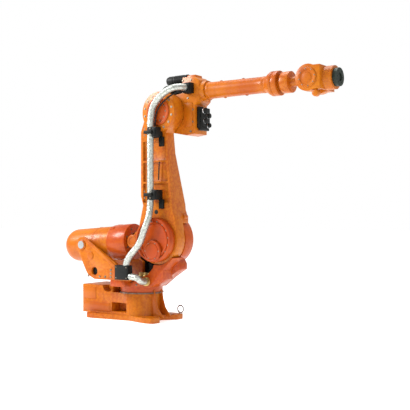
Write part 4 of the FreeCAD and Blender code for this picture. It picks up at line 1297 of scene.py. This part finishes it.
@dataclass
class Sleeve:
    """A round hose along one smooth curve, optionally crinkled.

    The points are the route's corners, in metres.
    """
    node: str
    points: Sequence[Point]
    radius: float
    material: bpy.types.Material
    slot: Slot
    crinkle: float = 0.0
    sides: int = 28
    step: float = 0.005

    def line(self) -> list[Vector]:
        """Points read from the route's smooth curve, a few millimetres apart."""
        curve = bpy.data.curves.new("route", "CURVE")
        curve.dimensions, curve.resolution_u = "3D", 64
        spline = curve.splines.new("NURBS")
        spline.points.add(len(self.points) - 1)
        for spot, point in zip(spline.points, self.points):
            spot.co = (*point, 1.0)
        spline.order_u, spline.use_endpoint_u = 3, True
        made = bpy.data.objects.new("route", curve)
        data = bpy.data.meshes.new_from_object(made)
        raw = [vert.co.copy() for vert in data.vertices]
        bpy.data.objects.remove(made)
        bpy.data.meshes.remove(data)
        line, carried = [raw[0]], 0.0
        for before, after in zip(raw, raw[1:]):
            carried += (after - before).length
            if carried >= self.step:
                line.append(after)
                carried = 0.0
        if (line[-1] - raw[-1]).length < self.step / 2:
            line.pop()
        return line + [raw[-1]]

    def mesh(self) -> bpy.types.Mesh:
        """The tube's mesh, with its UV map in metres."""
        line = self.line()
        data, solid = bpy.data.meshes.new(f"{self.node}_skin"), bmesh.new()
        uv_map = solid.loops.layers.uv.new("length")
        across = (line[1] - line[0]).orthogonal().normalized()
        rings, run, lengths = [], 0.0, []
        for k, here in enumerate(line):
            ahead = (line[min(k + 1, len(line) - 1)] - line[max(k - 1, 0)]).normalized()
            across = (across - ahead * across.dot(ahead)).normalized()
            beside = ahead.cross(across)
            run += (here - line[max(k - 1, 0)]).length
            lengths.append(run)
            ring = []
            for s in range(self.sides):
                angle = math.tau * s / self.sides
                out = across * math.cos(angle) + beside * math.sin(angle)
                fold = 0.0
                if self.crinkle:
                    at = Vector((run * 34, math.cos(angle) * 1.7, math.sin(angle) * 1.7))
                    fold = abs(noise.noise(at)) * 1.5 + abs(noise.noise(at * 2.3)) * 0.6
                ring.append(solid.verts.new(here + out * (self.radius - self.crinkle * fold)))
            rings.append(ring)
        around = math.tau * self.radius / self.sides
        for k, (below, above) in enumerate(zip(rings, rings[1:])):
            for s in range(self.sides):
                after = (s + 1) % self.sides
                made = solid.faces.new((below[s], below[after], above[after], above[s]))
                start, end = lengths[k], lengths[k + 1]
                for loop, (u, v) in zip(made.loops, ((start, s), (start, s + 1),
                                                     (end, s + 1), (end, s))):
                    loop[uv_map].uv = (u, v * around)
        solid.faces.new(list(reversed(rings[0])))
        solid.faces.new(rings[-1])
        bmesh.ops.recalc_face_normals(solid, faces=solid.faces)
        solid.to_mesh(data)
        solid.free()
        data.materials.append(self.material)
        data.polygons.foreach_set("use_smooth", [True] * len(data.polygons))
        return data

    def piece(self, body: Body | None = None,
              bend: tuple[Body, Body, Point, Point] | None = None) -> bpy.types.Object:
        """Makes the hose and hands it over.

        Args:
            body: the body it rides on, or None when bend is given.
            bend: the two bodies and the start and end of the bend; only whether it is given is
                read, and then the hose is left in place on no body.

        Returns:
            The piece.
        """
        made = bpy.data.objects.new(f"{self.node}_sleeve", self.mesh())
        bpy.context.scene.collection.objects.link(made)
        if bend:
            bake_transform(made)
        else:
            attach(made, body.value)
        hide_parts(self.node)
        log.info("%s: %d faces", made.name, len(made.data.polygons))
        return made


@dataclass
class HoseRun:
    """The silver sleeve from the turret up the arm to the forearm, and a thin cable."""
    finishes: Finishes
    radius: float = 29 * MM
    crinkle: float = 2.6 * MM
    cable: float = 6 * MM
    y: float = -0.274
    x: float = 0.322
    box_y: float = -0.335
    cable_y: float = -0.251
    high: float = 1.654
    entry: tuple[float, float] = (0.588, -0.150)

    def build(self) -> None:
        """Makes the hoses."""
        f, x, y, box_y = self.finishes, self.x, self.y, self.box_y
        self.silver("turret_hose", (
            (0.148, box_y, 0.401), (0.222, box_y, 0.401), (0.235, -0.290, 0.356),
            (0.235, -0.241, 0.356))).piece(Body.TURRET)
        self.silver("shoulder_hose", (
            (0.108, box_y, 0.494), (0.108, box_y, 0.542), (x - 0.076, -0.321, 0.676),
            (x - 0.028, -0.321, 0.800), (x + 0.010, -0.312, 0.890), (x, y, 0.990),
            (x, y, 1.048))).piece(
                bend=(Body.TURRET, Body.ARM, (0.108, box_y, 0.51), (x, y, 1.0)))
        self.silver("arm_hose", ((x, y, 1.09), (x, y, 1.35), (x, y, 1.612))).piece(Body.ARM)
        end_x, end_y = self.entry
        self.silver("elbow_hose", (
            (x, y, self.high), (x, y, 1.730), (0.350, y, 1.850), (0.485, y, 1.950),
            (end_x, end_y - 0.088, 1.980), (end_x, end_y, 1.980))).piece(
                bend=(Body.ARM, Body.FOREARM, (x, y, 1.67), (end_x, end_y, 1.975)))
        under = self.cable_y
        Sleeve("elbow_cable", (
            (0.350, under, self.high), (0.350, under, 1.695), (0.376, under - 0.004, 1.807),
            (0.500, under, 1.905), (0.572, end_y - 0.055, 1.943), (0.572, end_y, 1.943)),
               self.cable, f.rubber, Slot.RUBBER, 0.0, 16).piece(
                   bend=(Body.ARM, Body.FOREARM, (0.350, under, 1.67), (0.572, end_y, 1.943)))

    def silver(self, node: str, points: Sequence[Point]) -> Sleeve:
        """A crinkled silver sleeve in place of that node, along those points."""
        return Sleeve(node, points, self.radius, self.finishes.sleeve, Slot.SLEEVE, self.crinkle)


# ------------------------------------------------------------------ studio

@dataclass
class Studio:
    """A pale floor, soft lights and the camera."""
    finishes: Finishes
    camera_at: Point = (4.509, -5.416, 0.950)
    heading: float = 35.21
    lens: float = 69.47
    shift: float = 0.0159
    ambient: float = 0.62
    floor_reach: float = 30.0
    lights: tuple[tuple[str, Point, Point, float, float], ...] = (
        ("key", (-3.8, -3.6, 4.4), (0.3, 0.0, 1.0), 2.2, 430.0),
        ("fill", (5.5, -3.0, 3.0), (0.5, 0.0, 1.0), 3.0, 30.0),
        ("top", (0.5, 0.5, 5.5), (0.5, 0.0, 0.8), 3.0, 140.0))

    def build(self) -> None:
        """Makes the floor, the lights and the camera."""
        data = bpy.data.meshes.new("floor")
        reach = self.floor_reach
        data.from_pydata([(-reach, -reach, 0), (reach, -reach, 0), (reach, reach, 0),
                          (-reach, reach, 0)], [], [(0, 1, 2, 3)])
        floor = bpy.data.objects.new("floor", data)
        data.materials.append(self.finishes.floor)
        bpy.context.scene.collection.objects.link(floor)
        bpy.context.scene.view_settings.view_transform = "Standard"
        world = bpy.data.worlds.new("studio")
        bpy.context.scene.world = world
        world.use_nodes = True
        sky = world.node_tree.nodes["Background"]
        sky.inputs["Color"].default_value = (1.0, 1.0, 1.0, 1.0)
        sky.inputs["Strength"].default_value = self.ambient
        seen = world.node_tree.nodes.new("ShaderNodeBackground")
        seen.inputs["Color"].default_value = (1.0, 1.0, 1.0, 1.0)
        ray = world.node_tree.nodes.new("ShaderNodeLightPath")
        either = world.node_tree.nodes.new("ShaderNodeMixShader")
        links = world.node_tree.links
        links.new(ray.outputs["Is Camera Ray"], either.inputs[0])
        links.new(sky.outputs[0], either.inputs[1])
        links.new(seen.outputs[0], either.inputs[2])
        links.new(either.outputs[0], world.node_tree.nodes["World Output"].inputs[0])
        for row in self.lights:
            self.light(*row)
        data = bpy.data.cameras.new("main_camera")
        data.lens, data.sensor_width = self.lens, 36.0
        data.shift_y = self.shift
        data.clip_end = 100.0
        camera = bpy.data.objects.new("main_camera", data)
        camera.location = self.camera_at
        camera.rotation_euler = (math.radians(90), 0.0, math.radians(self.heading))
        bpy.context.scene.collection.objects.link(camera)
        bpy.context.scene.camera = camera

    def light(self, name: str, at: Point, aim: Point, size: float, power: float) -> None:
        """Adds one square area light.

        Args:
            name: its name.
            at: where it stands.
            aim: what it points at.
            size: its side, in metres.
            power: its power, in watts.
        """
        data = bpy.data.lights.new(name, "AREA")
        data.shape, data.size, data.energy = "SQUARE", size, power
        made = bpy.data.objects.new(name, data)
        made.location = at
        made.rotation_euler = (Vector(aim) - Vector(at)).to_track_quat("-Z", "Y").to_euler()
        bpy.context.scene.collection.objects.link(made)


def main() -> None:
    """Builds the arm, then the studio."""
    logging.basicConfig(level=logging.INFO, format="%(message)s")
    finishes = Finishes()
    for part in (Studio(finishes), HoseRun(finishes), Base(finishes), Turret(finishes),
                 Balancer(finishes), UpperArm(finishes), Forearm(finishes), Wrist(finishes)):
        log.info("building %s", type(part).__name__)
        part.build()
    bpy.context.view_layer.update()


if __name__ == "__main__":
    main()
